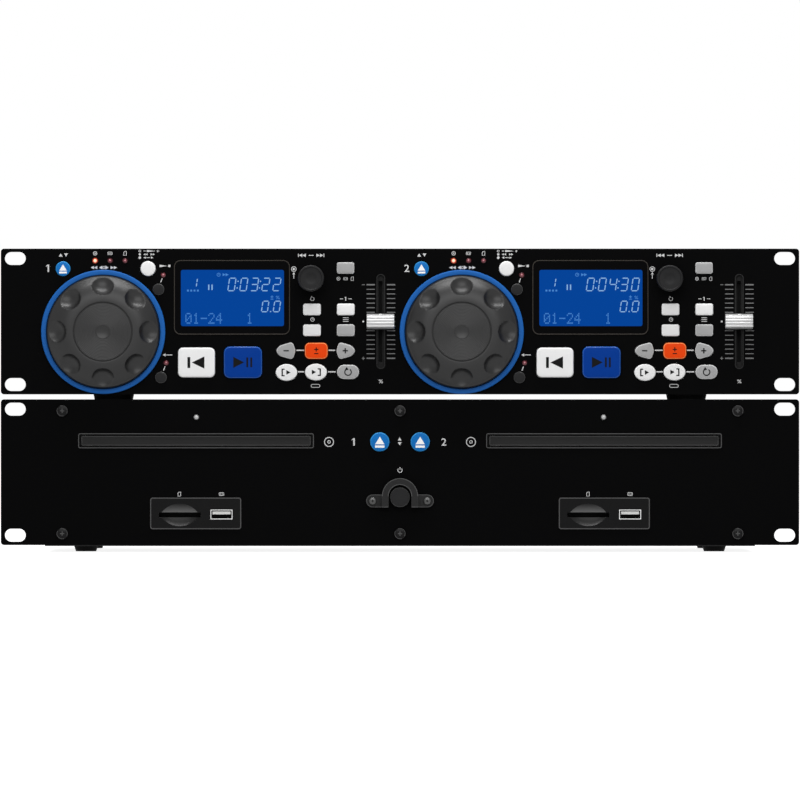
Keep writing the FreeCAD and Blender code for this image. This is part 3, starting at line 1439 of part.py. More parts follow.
doc.recompute()
for thing in doc.Objects:
    if "Invalid" in thing.State or "Error" in thing.State:
        raise RuntimeError(f"{thing.Label} did not build: {thing.State}")
for label, thing in nodes.items():
    if thing.Shape.isNull() or not thing.Shape.isValid() or not thing.Shape.Solids:
        raise RuntimeError(f"{label} has no sound solid")

os.makedirs("parts", exist_ok=True)
for label, thing in nodes.items():
    thing.Shape.exportStep(f"parts/{label}.step")
print(len(nodes), "nodes")
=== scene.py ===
import math
import bmesh
import bpy
import numpy as np
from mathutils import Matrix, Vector


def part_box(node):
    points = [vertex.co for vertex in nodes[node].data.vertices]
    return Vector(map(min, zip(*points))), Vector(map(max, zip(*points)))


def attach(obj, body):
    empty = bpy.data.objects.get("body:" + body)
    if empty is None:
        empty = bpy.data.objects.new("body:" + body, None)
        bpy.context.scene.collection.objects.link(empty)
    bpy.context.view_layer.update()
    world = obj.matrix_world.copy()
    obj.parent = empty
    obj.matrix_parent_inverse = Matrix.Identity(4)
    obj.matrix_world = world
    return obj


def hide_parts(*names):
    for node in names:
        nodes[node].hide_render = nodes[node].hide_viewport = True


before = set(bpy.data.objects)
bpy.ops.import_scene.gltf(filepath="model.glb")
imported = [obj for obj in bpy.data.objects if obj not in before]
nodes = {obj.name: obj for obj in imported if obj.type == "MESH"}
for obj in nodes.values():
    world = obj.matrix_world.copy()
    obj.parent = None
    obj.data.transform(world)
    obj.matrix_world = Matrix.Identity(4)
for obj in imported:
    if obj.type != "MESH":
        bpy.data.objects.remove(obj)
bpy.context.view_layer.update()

# Two black rack units, one on the other, in the frame's own axes: +X to the right, +Y to the rear, +Z up.
# Sizes are in millimetres; meshFrom() and the camera turn them into metres. Lamps and floor are in metres.

scene = bpy.context.scene
deckShift = {"a": 0.0, "b": 216.7}  # deck b is deck a moved to the right
traySide = {"a": -1, "b": 1}
quarter = math.pi / 2


def nodeBox(name):
    low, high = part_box(name)
    return np.array(low) * 1000, np.array(high) * 1000


def nodeMiddle(name):
    # (x, z) of the middle of a node's box
    low, high = nodeBox(name)
    return (low[0] + high[0]) / 2, (low[2] + high[2]) / 2


controlZ = float(nodeMiddle("control_front_panel")[1])
driveZ = float(nodeMiddle("drive_front_panel")[1])
faceY = float(nodeBox("control_front_panel")[0][1])  # front of both panels
print("frame loaded")


# Meshes and pieces

def meshFrom(name, parts):
    # parts are (points, [faces, ...]); each faces array holds polygons of one corner count
    points, loops, totals, offset = [], [], [], 0
    for coords, faceSets in parts:
        points.append(np.asarray(coords, float))
        for faces in faceSets:
            faces = np.asarray(faces, int)
            loops.append((faces + offset).ravel())
            totals.append(np.full(len(faces), faces.shape[1]))
        offset += len(coords)
    points, loops, totals = np.concatenate(points), np.concatenate(loops), np.concatenate(totals)
    mesh = bpy.data.meshes.new(name)
    mesh.vertices.add(len(points))
    mesh.vertices.foreach_set("co", (points * 0.001).ravel())
    mesh.loops.add(len(loops))
    mesh.loops.foreach_set("vertex_index", loops)
    mesh.polygons.add(len(totals))
    mesh.polygons.foreach_set("loop_start", np.concatenate([[0], np.cumsum(totals)[:-1]]))
    mesh.polygons.foreach_set("loop_total", totals)
    mesh.update(calc_edges=True)
    mesh.validate()
    return mesh


def addPiece(name, parts, finish, body, replaced=(), sharp=35):
    # one finished object that rides on a body; edges steeper than the sharp angle stay crisp
    mesh = parts if isinstance(parts, bpy.types.Mesh) else meshFrom(name, parts)
    mesh.polygons.foreach_set("use_smooth", np.ones(len(mesh.polygons), bool))
    mesh.set_sharp_from_angle(angle=math.radians(sharp))
    mesh.materials.clear()
    for item in [finish] if isinstance(finish, str) else finish:
        mesh.materials.append(finishes[item])
    piece = bpy.data.objects.new(name, mesh)
    scene.collection.objects.link(piece)
    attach(piece, body)
    if replaced:
        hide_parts(*replaced)
    return piece


def moved(parts, x, y, z):
    return [(points + [x, y, z], faces) for points, faces in parts]


def gridQuads(rings, steps):
    # quads between successive rings of points that go once round
    ring, step = np.meshgrid(np.arange(rings - 1), np.arange(steps), indexing="ij")
    after = (step + 1) % steps
    return np.stack([ring * steps + step, ring * steps + after, (ring + 1) * steps + after,
                     (ring + 1) * steps + step], -1).reshape(-1, 4)


def fanCap(first, steps, tip, flip):
    # triangles from a ring to one middle point
    step = np.arange(steps)
    order = [first + step, first + (step + 1) % steps, np.full(steps, tip)]
    return np.stack(order[::-1] if flip else order, -1)


def capped(rings, tips, flip):
    # skin over successive closed rings, both ends closed by triangles to a tip
    count, steps = rings.shape[:2]
    quads = gridQuads(count, steps)
    caps = np.concatenate([fanCap(0, steps, count * steps, not flip),
                           fanCap((count - 1) * steps, steps, count * steps + 1, flip)])
    return np.concatenate([rings.reshape(-1, 3), tips]), [quads[:, ::-1] if flip else quads, caps]


def looped(rings, flip):
    # skin over successive closed rings, the last joined to the first
    count, steps = rings.shape[:2]
    quads = gridQuads(count + 1, steps) % (count * steps)
    return rings.reshape(-1, 3), [quads[:, ::-1] if flip else quads]


# Outlines in (x, z), anticlockwise

def roundedOutline(corners, radii, steps=6):
    # each corner becomes an arc of its radius, whose middle lies on the line that halves the corner
    corners = np.asarray(corners, float)
    radii = np.broadcast_to(np.asarray(radii, float), len(corners))
    before = np.roll(corners, 1, 0) - corners
    after = np.roll(corners, -1, 0) - corners
    before /= np.linalg.norm(before, axis=1)[:, None]
    after /= np.linalg.norm(after, axis=1)[:, None]
    half = np.arccos(np.clip((before * after).sum(1), -1, 1)) / 2
    middle = before + after
    middle /= np.linalg.norm(middle, axis=1)[:, None]
    centre = corners + middle * (radii / np.sin(half))[:, None]
    start = corners + before * (radii / np.tan(half))[:, None] - centre
    end = corners + after * (radii / np.tan(half))[:, None] - centre
    first = np.arctan2(start[:, 1], start[:, 0])
    turn = (np.arctan2(end[:, 1], end[:, 0]) - first + math.pi) % (2 * math.pi) - math.pi
    angles = first[:, None] + turn[:, None] * np.linspace(0, 1, steps + 1)
    arcs = centre[:, None, :] + radii[:, None, None] * np.stack([np.cos(angles), np.sin(angles)], -1)
    return arcs.reshape(-1, 2)


def boxOutline(wide, high, radius, steps=6):
    x, z = wide / 2, high / 2
    return roundedOutline([(-x, -z), (x, -z), (x, z), (-x, z)], radius, steps)


def ovalOutline(wide, high, steps=48):
    turn = np.linspace(0, 2 * math.pi, steps, endpoint=False)
    return np.stack([np.cos(turn) * wide / 2, np.sin(turn) * high / 2], -1)


def dropOutline(wide, high, radius, way):
    # rounded triangle with full sides; way is -1 where the tip points left
    half = high / 2
    corners = np.array([(0.55 * wide, 0), (0.30 * wide, 0.68 * half), (-0.36 * wide, 1.13 * half),
                        (-0.515 * wide, 0), (-0.36 * wide, -1.13 * half), (0.30 * wide, -0.68 * half)])
    radii = np.array([radius, half, 0.9 * radius, half, 0.9 * radius, half])
    if way < 0:
        corners, radii = corners[::-1] * [-1, 1], radii[::-1]
    return roundedOutline(corners, radii)


def turnedOutline(outline, degrees):
    c, s = math.cos(math.radians(degrees)), math.sin(math.radians(degrees))
    return np.asarray(outline, float) @ np.array([[c, s], [-s, c]])


# Forms

def layered(outline, layers, centre=(0, 0), hollow=False):
    # rings of one outline at successive (inset, y, scale): a point moves inward along its normal by inset,
    # then towards the middle by the scale
    outline = np.asarray(outline, float)
    along = np.roll(outline, -1, 0) - np.roll(outline, 1, 0)
    along /= np.maximum(np.linalg.norm(along, axis=1), 1e-9)[:, None]
    normals = np.stack([along[:, 1], -along[:, 0]], -1)
    inset, depth, scale = np.array([(*layer, 1.0)[:3] for layer in layers], float).T[..., None, None]
    middle = (outline.max(0) + outline.min(0)) / 2
    flat = middle + (outline - normals * inset - middle) * scale + np.asarray(centre, float)
    rings = np.stack([flat[..., 0], np.broadcast_to(depth[..., 0], flat.shape[:2]), flat[..., 1]], -1)
    if hollow:
        return looped(rings, False)
    return capped(rings, [rings[0].mean(0), rings[-1].mean(0)], False)


def roundedFront(back, front, bevel, crown, steps=5):
    # layers of a cap: straight neck, quarter-round edge, then a low crown, flat in the middle
    turn = np.linspace(0, quarter, steps + 1)
    layers = [(0.0, back)]
    layers += [(bevel * (1 - math.cos(t)), front + crown + bevel * (1 - math.sin(t))) for t in turn]
    return layers + [(bevel, front + crown * scale ** 4, scale) for scale in (0.93, 0.85, 0.7, 0.4)]


def spun(radius, depth, turn):
    # rings round the Y axis: one row per ring, one column per angle
    x, z = radius * np.cos(turn), radius * np.sin(turn)
    return np.stack([x, np.broadcast_to(depth, x.shape), z], -1)


def turned(profile, steps, ring=False):
    # profile of (radius, y) turned about the Y axis, closed on the axis at both ends or open as a ring
    profile = np.asarray(profile, float)
    turn = np.linspace(0, 2 * math.pi, steps, endpoint=False)
    if ring:
        return looped(spun(profile[:, :1], profile[:, 1:], turn), True)
    tips = [[0, profile[end, 1], 0] for end in (0, -1)]
    return capped(spun(profile[1:-1, :1], profile[1:-1, 1:], turn), tips, True)


def dome(radius, base, front, crown, steps, points, x, z):
    # quarter ellipse of the crown's height, turned, on a straight wall back to the base
    arc = np.linspace(0, quarter, points)
    curve = np.stack([radius * np.sin(arc), front - crown * np.cos(arc)], -1)
    return moved([turned(np.concatenate([curve, [(radius, base), (0.0, base)]]), steps)], x, 0, z)[0]


def slab(wide, high, front, back, centre, radius=0.0):
    outline = boxOutline(wide, high, max(radius, 0.02), 4 if radius else 1)
    return layered(outline, [(0, back), (0, front)], centre)


# Numbers and signs: thin raised prints with their back at y = 0, about (x, z)

printThick = 0.03


def numberPrint(word, high, long, x, z, bold):
    # figures as a mesh, stretched to the height and length given
    curve = bpy.data.curves.new("figure", "FONT")
    curve.body = word
    curve.size = high / 0.69
    curve.extrude = printThick / 2
    curve.offset = bold
    curve.resolution_u = 4
    holder = bpy.data.objects.new("figure", curve)
    scene.collection.objects.link(holder)
    bpy.context.view_layer.update()
    mesh = bpy.data.meshes.new_from_object(holder.evaluated_get(bpy.context.evaluated_depsgraph_get()))
    points = np.zeros(len(mesh.vertices) * 3)
    mesh.vertices.foreach_get("co", points)
    points = points.reshape(-1, 3)
    byCount = {}
    for polygon in mesh.polygons:
        byCount.setdefault(len(polygon.vertices), []).append(list(polygon.vertices))
    low, top = points.min(0), points.max(0)
    flat = (points - (low + top) / 2)[:, :2] * [long, high] / (top - low)[:2] + [x, z]
    bpy.data.objects.remove(holder)
    bpy.data.meshes.remove(mesh)
    bpy.data.curves.remove(curve)
    return np.stack([flat[:, 0], -printThick / 2 - points[:, 2], flat[:, 1]], -1), list(byCount.values())


def flatSign(outline, x, z):
    return layered(outline, [(0, 0), (0, -printThick)], (x, z))


def bar(wide, high, x, z):
    return flatSign(np.array([(-1, -1), (1, -1), (1, 1), (-1, 1)]) * [wide / 2, high / 2], x, z)


def dot(wide, x, z):
    return flatSign(ovalOutline(wide, wide, 20), x, z)


def triangle(wide, high, way, x, z):
    shapes = {"up": [(-0.5, -0.5), (0.5, -0.5), (0, 0.5)], "down": [(-0.5, 0.5), (0, -0.5), (0.5, 0.5)],
              "right": [(-0.5, -0.5), (0.5, 0), (-0.5, 0.5)], "left": [(0.5, -0.5), (0.5, 0.5), (-0.5, 0)]}
    return flatSign(np.array(shapes[way]) * [wide, high], x, z)


def frameLine(outline, line, x, z):
    # outline drawn as a closed line
    return layered(outline, [(0, 0), (0, -printThick), (line, -printThick), (line, 0)], (x, z), hollow=True)


def circle(wide, line, x, z):
    return frameLine(ovalOutline(wide, wide, 28), line, x, z)


def arcLine(wide, line, first, last, x, z):
    # band along part of a circle, angles in degrees anticlockwise from the right
    turn = np.radians(np.linspace(first, last, 25))
    around = np.stack([np.cos(turn), np.sin(turn)], -1)
    outline = np.concatenate([around * wide / 2, around[::-1] * (wide / 2 - line)]) + [x, z]
    count = len(turn)
    ahead = np.stack([outline[:, 0], np.full(2 * count, -printThick), outline[:, 1]], -1)
    step = np.arange(count - 1)
    faces = np.stack([step, step + 1, 2 * count - 2 - step, 2 * count - 1 - step], -1)
    rim = np.arange(2 * count)
    after = (rim + 1) % (2 * count)
    sides = np.stack([after, rim, rim + 2 * count, after + 2 * count], -1)
    return np.concatenate([ahead, ahead + [0, printThick, 0]]), [faces, faces[:, ::-1] + 2 * count, sides]


def figureOne(high, x, z):
    # upright stem with a slanted flag
    flag = np.array([(-0.3, 0.2), (-0.1, 0.36), (-0.1, 0.5), (-0.3, 0.33)]) * high
    return [bar(high * 0.2, high, x, z), flatSign(flag, x, z)]


def loopSign(size, x, z):
    # open ring that ends in an arrow head
    start, reach = 125, size * 0.44
    end = math.radians(start)
    head = turnedOutline(np.array([(-0.5, -0.5), (0.5, 0), (-0.5, 0.5)]) * size * 0.48, 215)
    return [arcLine(size, size * 0.15, start, start + 290, x, z),
            flatSign(head, x + math.cos(end) * reach, z + math.sin(end) * reach)]


def discSign(size, x, z):
    return [circle(size, size * 0.15, x, z), dot(size * 0.3, x, z)]


def cardSign(size, x, z):
    card = [(-0.72, -1), (0.72, -1), (0.72, 1), (-0.2, 1), (-0.72, 0.45)]
    return [frameLine(np.array(card) * size / 2, size * 0.14, x, z)]


def plugSign(size, x, z):
    pins = [bar(size * 0.22, size * 0.22, x + side * size * 0.24, z) for side in (-1, 1)]
    return [frameLine(boxOutline(size * 1.25, size * 0.8, 0.05, 1), size * 0.13, x, z), *pins]


def clockSign(size, x, z):
    return [circle(size, size * 0.14, x, z), bar(size * 0.12, size * 0.34, x, z + size * 0.12),
            bar(size * 0.28, size * 0.12, x + size * 0.1, z - size * 0.02)]


def powerSign(size, x, z):
    return [arcLine(size, size * 0.14, 135, 405, x, z), bar(size * 0.14, size * 0.5, x, z + size * 0.36)]


def plusSign(size, line, x, z):
    # three plates that don't overlap
    arm = (size - line) / 2
    return [bar(size, line, x, z)] + [bar(line, arm, x, z + way * (line + arm) / 2) for way in (1, -1)]


def seekSign(size, way, x, z, stop=False):
    # two triangles in a row, with an end bar where the jump stops
    side = 1 if way == "right" else -1
    made = [triangle(size, size, way, x + end * side * size * 0.5, z) for end in (-1, 1)]
    return made + ([bar(size * 0.22, size, x + side * size * 1.15, z)] if stop else [])


print("shape functions ready")


# Materials

def wire(tree, node, inputs):
    # each input takes a plain value or another node's output
    for name, value in inputs.items():
        if isinstance(value, bpy.types.NodeSocket):
            tree.links.new(value, node.inputs[name])
        else:
            node.inputs[name].default_value = value
    return node.outputs


def addNode(tree, kind, inputs=None, **settings):
    made = tree.nodes.new("ShaderNode" + kind)
    for name, value in settings.items():
        setattr(made, name, value)
    return wire(tree, made, inputs or {})


def addMath(tree, operation, *values):
    return addNode(tree, "Math", dict(enumerate(values)), operation=operation)[0]


def group(name, ins, outs):
    # a shader node group with named sockets: ins give values, outs give socket kinds
    tree = bpy.data.node_groups.new(name, "ShaderNodeTree")
    for label, value in ins.items():
        kind = "NodeSocketColor" if isinstance(value, tuple) else "NodeSocketFloat"
        tree.interface.new_socket(name=label, in_out="INPUT", socket_type=kind).default_value = value
    for label, kind in outs.items():
        tree.interface.new_socket(name=label, in_out="OUTPUT", socket_type="NodeSocket" + kind)
    return tree, tree.nodes.new("NodeGroupInput").outputs, tree.nodes.new("NodeGroupOutput")


def buildMouldedGrain():
    # fine noise speckles the colour and the height; a slow noise smudges the roughness
    tree, start, end = group("mouldedGrain", {"Scale": 2500.0, "Fleck": 0.1, "Smudge": 0.08, "Roughness": 0.5,
                                              "Tint": (0.1, 0.1, 0.1, 1)},
                             {"Height": "Float", "Roughness": "Float", "Tint": "Color"})
    place = addNode(tree, "TexCoord")["Object"]
    fine = addNode(tree, "TexNoise", {"Vector": place, "Scale": start["Scale"], "Detail": 3})["Fac"]
    slow = addNode(tree, "TexNoise", {"Vector": place, "Scale": 22, "Detail": 5})["Fac"]
    drift = addMath(tree, "SUBTRACT", slow, 0.5)
    smudge = addMath(tree, "MULTIPLY_ADD", drift, start["Smudge"], start["Roughness"])
    fleck = addMath(tree, "MULTIPLY", addMath(tree, "SUBTRACT", fine, 0.5), start["Fleck"])
    tint = addNode(tree, "Mix", {"Factor": 1, "A": start["Tint"], "B": addMath(tree, "ADD", fleck, 1)},
                   data_type="RGBA", blend_type="MULTIPLY")["Result"]
    wire(tree, end, {"Height": fine, "Roughness": smudge, "Tint": tint})
    return tree


def buildBrushed():
    # streaks along X: noise stretched twenty to one
    tree, start, end = group("brushedStreaks", {"Scale": 900.0, "Roughness": 0.3, "Depth": 0.2},
                             {"Height": "Float", "Roughness": "Float"})
    along = addNode(tree, "Mapping", {"Vector": addNode(tree, "TexCoord")["Object"], "Scale": (0.05, 1, 1)})
    noise = addNode(tree, "TexNoise", {"Vector": along["Vector"], "Scale": start["Scale"]})["Fac"]
    rough = addMath(tree, "MULTIPLY_ADD", noise, start["Depth"], start["Roughness"])
    wire(tree, end, {"Height": noise, "Roughness": rough})
    return tree


mouldedGrain = buildMouldedGrain()
brushedStreaks = buildBrushed()

# colour (one number for a grey), roughness, grain per metre, bump, fleck, smudge, specular
surfaces = {
    "panelPaint": ((0.0008, 0.0008, 0.0009), 0.5, 1800, 0.25, 0.3, 0.1, 0.02),
    # the panel's edge finish is a lighter copy of its paint for the bevels: a painted highlight
    "panelEdge": (0.006, 0.45, 1800, 0.15, 0.3, 0.1, 0.06),
    "caseSteel": ((0.008, 0.008, 0.0085), 0.42, 1500, 0.35, 0.3, 0.12, 0.25),
    "darkPlastic": ((0.009, 0.009, 0.0095), 0.42, 2600, 0.2, 0.25, 0.1, 0.13),
    # the lighter dark plastic below goes on the bevels of the trim and trays and on the dark keys' edges: a
    # painted highlight
    "darkRim": (0.038, 0.4, 2600, 0.1, 0.2, 0.1, 0.35),
    "portPlastic": ((0.005, 0.005, 0.0052), 0.45, 2600, 0.3, 0.25, 0.1, 0.06),
    "guardPlastic": ((0.013, 0.013, 0.0132), 0.45, 2600, 0.3, 0.25, 0.1, 0.12),
    "slotInside": ((0.022, 0.022, 0.0222), 0.6, 2600, 0.2, 0.25, 0.1, 0.03),
    "slotEdge": (0.018, 0.5, 2600, 0.1, 0.25, 0.1, 0.1),
    "trayPlastic": (0.014, 0.45, 2600, 0.25, 0.2, 0.1, 0.1),
    "wheelPlastic": ((0.006, 0.006, 0.0062), 0.38, 2200, 0.1, 0.15, 0.06, 0.36),
    # each key colour has a lighter rim copy for the faces that turn from the front: painted highlights
    "whiteKey": (0.77, 0.35, 1500, 0.05, 0.03, 0.05, 0.3),
    "whiteRim": (0.86, 0.3, 1500, 0.03, 0.02, 0.05, 0.4),
    "greyKey": ((0.33, 0.33, 0.332), 0.35, 1500, 0.05, 0.05, 0.05, 0.3),
    "greyRim": (0.62, 0.3, 1500, 0.03, 0.04, 0.05, 0.4),
    "blueKey": ((0.0015, 0.138, 0.45), 0.32, 1500, 0.04, 0.05, 0.05, 0.12),
    "blueRim": ((0.03, 0.28, 0.62), 0.3, 1500, 0.03, 0.05, 0.05, 0.25),
    "playKey": ((0.0004, 0.036, 0.25), 0.32, 1500, 0.04, 0.05, 0.05, 0.05),
    "playRim": ((0.003, 0.075, 0.36), 0.28, 1500, 0.03, 0.05, 0.05, 0.4),
    "orangeKey": ((0.7, 0.05, 0.001), 0.35, 1500, 0.04, 0.05, 0.05, 0.08),
    "orangeRim": ((0.95, 0.27, 0.07), 0.3, 1500, 0.03, 0.05, 0.05, 0.3),
    "ringBlue": ((0.010, 0.105, 0.38), 0.4, 2000, 0.06, 0.06, 0.06, 0.1),
    "windowBlack": ((0.001, 0.001, 0.0012), 0.15, 900, 0.01, 0.05, 0.05, 0.03),
    # the window's bevelled edge in a lighter brown-grey: a painted highlight
    "windowEdge": ((0.03, 0.025, 0.02), 0.3, 900, 0.02, 0.05, 0.05, 0.15),
    "displayBlue": ((0.0003, 0.012, 0.07), 0.25, 900, 0.01, 0.04, 0.05, 0.02),
    "displayInk": ((0.08, 0.14, 0.24), 0.4, 900, 0.01, 0.04, 0.05, 0.05),
    "displayFaint": ((0.02, 0.07, 0.2), 0.4, 900, 0.01, 0.04, 0.05, 0.05),
    "printWhite": (0.62, 0.6, 1500, 0.05, 0.1, 0.05, 0.05),
    "printGrey": (0.17, 0.6, 1500, 0.05, 0.1, 0.05, 0.05),
    "printBlack": (0.006, 0.5, 1500, 0.05, 0.1, 0.05, 0.05),
    "printBright": (0.9, 0.5, 1500, 0.05, 0.05, 0.05, 0.1),
    "silverCap": (0.62, 0.3, 1200, 0.1, 0.08, 0.1, 0.4),
    "brightSteel": (0.62, 0.25, 1200, 0.1, 0.1, 0.08, 0.5),
    "dullSteel": (0.36, 0.35, 1200, 0.1, 0.1, 0.08, 0.5),
    "nickel": ((0.5, 0.48, 0.44), 0.25, 900, 0.03, 0.1, 0.08, 0.5),
    "screwBlack": ((0.002, 0.002, 0.0022), 0.28, 1500, 0.03, 0.1, 0.1, 0.12),
    "screwSteel": (0.02, 0.3, 1500, 0.03, 0.1, 0.1, 0.7),
    # this grey draws lines along edges and round screw heads on the drive unit: painted highlights
    "edgeLine": (0.058, 0.4, 2600, 0.05, 0.1, 0.1, 0.2),
    "bezelBlack": ((0.0015, 0.0015, 0.0016), 0.4, 2600, 0.1, 0.2, 0.1, 0.03),
    # the upper scoop's colour is replaced by a painted gradient, light at the slot and dark at the top
    "scoopHigh": (0.05, 0.4, 2600, 0.1, 0.2, 0.1, 0.15),
    "scoopLow": (0.004, 0.35, 2600, 0.1, 0.2, 0.1, 0.17),
    "contactWhite": ((0.8, 0.8, 0.79), 0.4, 1500, 0.03, 0.03, 0.05, 0.3),
    "footRubber": (0.008, 0.7, 1500, 0.4, 0.2, 0.08, 0.1),
    "lampRed": ((0.14, 0.008, 0.018), 0.2, 900, 0.01, 0.05, 0.05, 0.5),
    # pale pink spot for the unlit lamps: a painted highlight
    "lampSpot": ((0.55, 0.2, 0.24), 0.2, 900, 0.01, 0.05, 0.05, 0.5),
    "lampLit": ((0.7, 0.1, 0.04), 0.3, 900, 0.01, 0.05, 0.05, 0.3),
    "lampCore": ((0.9, 0.55, 0.4), 0.3, 900, 0.01, 0.05, 0.05, 0.3),
    "lampClear": (0.45, 0.2, 900, 0.01, 0.05, 0.05, 0.5),
    "boardGreen": ((0.012, 0.07, 0.02), 0.4, 800, 0.1, 0.3, 0.1, 0.4),
}
# strength and colour of the light that a finish gives; the lamps and displays are lit, while the orange key's
# glow is painted light, as the key is no lamp
glows = {"orangeKey": (0.1, (1.0, 0.08, 0.01)), "orangeRim": (0.08, (1.0, 0.3, 0.1)),
         "displayBlue": (0.85, (0.0, 0.05, 0.28)), "displayInk": (0.7, (0.24, 0.45, 0.72)),
         "displayFaint": (0.7, (0.06, 0.24, 0.6)), "lampLit": (0.5, (1.0, 0.12, 0.04)),
         "lampCore": (0.6, (1.0, 0.55, 0.35))}
metals = {"silverCap": 0.35, "brightSteel": 1.0, "dullSteel": 1.0, "nickel": 1.0}
brushed = ("brightSteel", "dullSteel")


def finishOf(name, colour, roughness, grain, bump, fleck, smudge, specular):
    # one principled surface whose colour, roughness and bump come from the grain group
    material = bpy.data.materials.new(name)
    material.use_nodes = True
    tree = material.node_tree
    skin = addNode(tree, "Group", {"Scale": grain, "Fleck": fleck, "Smudge": smudge, "Roughness": roughness,
                                   "Tint": (*np.broadcast_to(colour, 3), 1)}, node_tree=mouldedGrain)
    rough, height = skin["Roughness"], skin["Height"]
    if name in brushed:
        streaks = addNode(tree, "Group", {"Roughness": roughness}, node_tree=brushedStreaks)
        rough, height = streaks["Roughness"], streaks["Height"]
    rise = addNode(tree, "Bump", {"Strength": bump, "Distance": 0.00005, "Height": height})["Normal"]
    inputs = {"Base Color": skin["Tint"], "Roughness": rough, "Normal": rise, "Specular IOR Level": specular,
              "Metallic": metals.get(name, 0.0)}
    if name in glows:
        strength, glow = glows[name]
        inputs |= {"Emission Color": (*glow, 1), "Emission Strength": strength}
    wire(tree, tree.nodes["Principled BSDF"], inputs)
    return material


finishes = {name: finishOf(name, *values) for name, values in surfaces.items()}
print("materials ready")


# Camera, floor and light

view = {"distance": 9000.0, "scale": 0.6045, "levelZ": 91.7, "pixels": 800, "sensor": 36}
stage = {"half": 12, "level": -0.0003, "grey": 0.35, "glow": 0.87, "ambient": 0.38, "backdrop": 1.0}
# where each lamp stands, where it points, its width and height in metres, its power in watts
softBoxes = {"frontSoftBox": ((0, -1.7, 0.85), (0, -0.2, 0.1), 1.7, 0.9, 14.2),
             "topStrip": ((0, -0.42, 1.35), (0, -0.12, 0.12), 1.2, 0.2, 17),
             "rearFill": ((-0.8, 1.6, 1.3), (0, 0, 0.1), 1.5, 1.0, 14)}

cameraData = bpy.data.cameras.new("camera")
cameraData.sensor_width = view["sensor"]
cameraData.lens = view["sensor"] * view["distance"] / (view["scale"] * view["pixels"])
camera = bpy.data.objects.new("camera", cameraData)
camera.location = (0, (faceY - view["distance"]) / 1000, view["levelZ"] / 1000)
camera.rotation_euler = (math.radians(90), 0, 0)
scene.collection.objects.link(camera)
scene.camera = camera


def seenRays(tree):
    # one where a ray comes from the camera, a reflection or clear material
    rays = addNode(tree, "LightPath")
    bounced = addMath(tree, "MAXIMUM", rays["Is Glossy Ray"], rays["Is Transmission Ray"])
    return addMath(tree, "MAXIMUM", rays["Is Camera Ray"], bounced)


def paleStage(name):
    # the floor shows the object's shadow; its own glow is only for the camera, glossy and transmitted rays
    material = bpy.data.materials.new(name)
    material.use_nodes = True
    tree = material.node_tree
    wire(tree, tree.nodes["Principled BSDF"],
         {"Base Color": (stage["grey"], stage["grey"], stage["grey"], 1), "Roughness": 0.9,
          "Specular IOR Level": 0.1, "Emission Color": (1, 1, 1, 1),
          "Emission Strength": addMath(tree, "MULTIPLY", seenRays(tree), stage["glow"])})
    return material


def softBox(name, place, target, wide, high, power):
    data = bpy.data.lights.new(name, "AREA")
    data.shape = "RECTANGLE"
    data.size, data.size_y = wide, high
    data.energy = power
    lamp = bpy.data.objects.new(name, data)
    lamp.location = place
    lamp.rotation_euler = (Vector(target) - Vector(place)).to_track_quat("-Z", "Y").to_euler()
    scene.collection.objects.link(lamp)


floorMesh = bpy.data.meshes.new("floor")
half = stage["half"]
floorCorners = [(x * half, y * half, stage["level"]) for x, y in ((-1, -1), (1, -1), (1, 1), (-1, 1))]
floorMesh.from_pydata(floorCorners, [], [(0, 1, 2, 3)])
floorMesh.materials.append(paleStage("paleFloor"))
floor = bpy.data.objects.new("floor", floorMesh)
scene.collection.objects.link(floor)

world = bpy.data.worlds.new("studio")
scene.world = world
world.use_nodes = True
worldTree = world.node_tree
strength = addNode(worldTree, "MapRange", {"Value": seenRays(worldTree), "To Min": stage["ambient"],
                                           "To Max": stage["backdrop"]})["Result"]
wire(worldTree, worldTree.nodes["Background"], {"Color": (1, 1, 1, 1), "Strength": strength})
for name, values in softBoxes.items():
    softBox(name, *values)
scene.view_settings.view_transform = "Standard"
print("camera, floor and light ready")


# Nodes that keep their form: merged copies with soft edges, and nodes that only get a finish

bevels = {"panel": 0.25, "case": 0.3, "trim": 0.35, "angle": 40, "flat": 0.6}


def softEdged(name, finish, edge, body, rim=None, segments=2):
    # copy of a node, merged and freed of flat seams, with a bevel along its real edges; edge names its width;
    # a rim finish paints the bevel lighter, as a painted highlight
    mesh = nodes[name].data.copy()
    shape = bmesh.new()
    shape.from_mesh(mesh)
    bmesh.ops.remove_doubles(shape, verts=shape.verts, dist=1e-6)
    flat = math.radians(bevels["flat"])
    bmesh.ops.dissolve_limit(shape, angle_limit=flat, verts=shape.verts, edges=shape.edges)
    shape.to_mesh(mesh)
    shape.free()
    pair = [finish, rim or finish]
    piece = addPiece(name + "_dressed", mesh, pair, body, (name,), sharp=bevels["angle"])
    bevel = piece.modifiers.new("softEdge", "BEVEL")
    bevel.width = bevels[edge] * 0.001
    bevel.segments = segments
    bevel.limit_method = "ANGLE"
    bevel.angle_limit = math.radians(bevels["angle"])
    bevel.harden_normals = True
    bevel.material = 1 if rim else -1
    return piece


def faceMiddles(mesh):
    # in millimetres
    centres = np.zeros(len(mesh.polygons) * 3)
    mesh.polygons.foreach_get("center", centres)
    return centres.reshape(-1, 3) * 1000


def paintMore(mesh, finish, chooser):
    # one more finish on the faces whose middles the chooser picks
    mesh.materials.append(finishes[finish])
    present = np.zeros(len(mesh.polygons), np.int32)
    mesh.polygons.foreach_get("material_index", present)
    chosen = np.where(chooser(faceMiddles(mesh)), len(mesh.materials) - 1, present)
    mesh.polygons.foreach_set("material_index", chosen.astype(np.int32))


def paintNode(name, *choices, chooser=None):
    # keeps the node's own mesh; the chooser turns the faces' middles into numbers in the list of finishes
    mesh = nodes[name].data
    mesh.materials.clear()
    for finish in choices:
        mesh.materials.append(finishes[finish])
    if chooser:
        mesh.polygons.foreach_set("material_index", chooser(faceMiddles(mesh)).astype(np.int32))
        mesh.update()
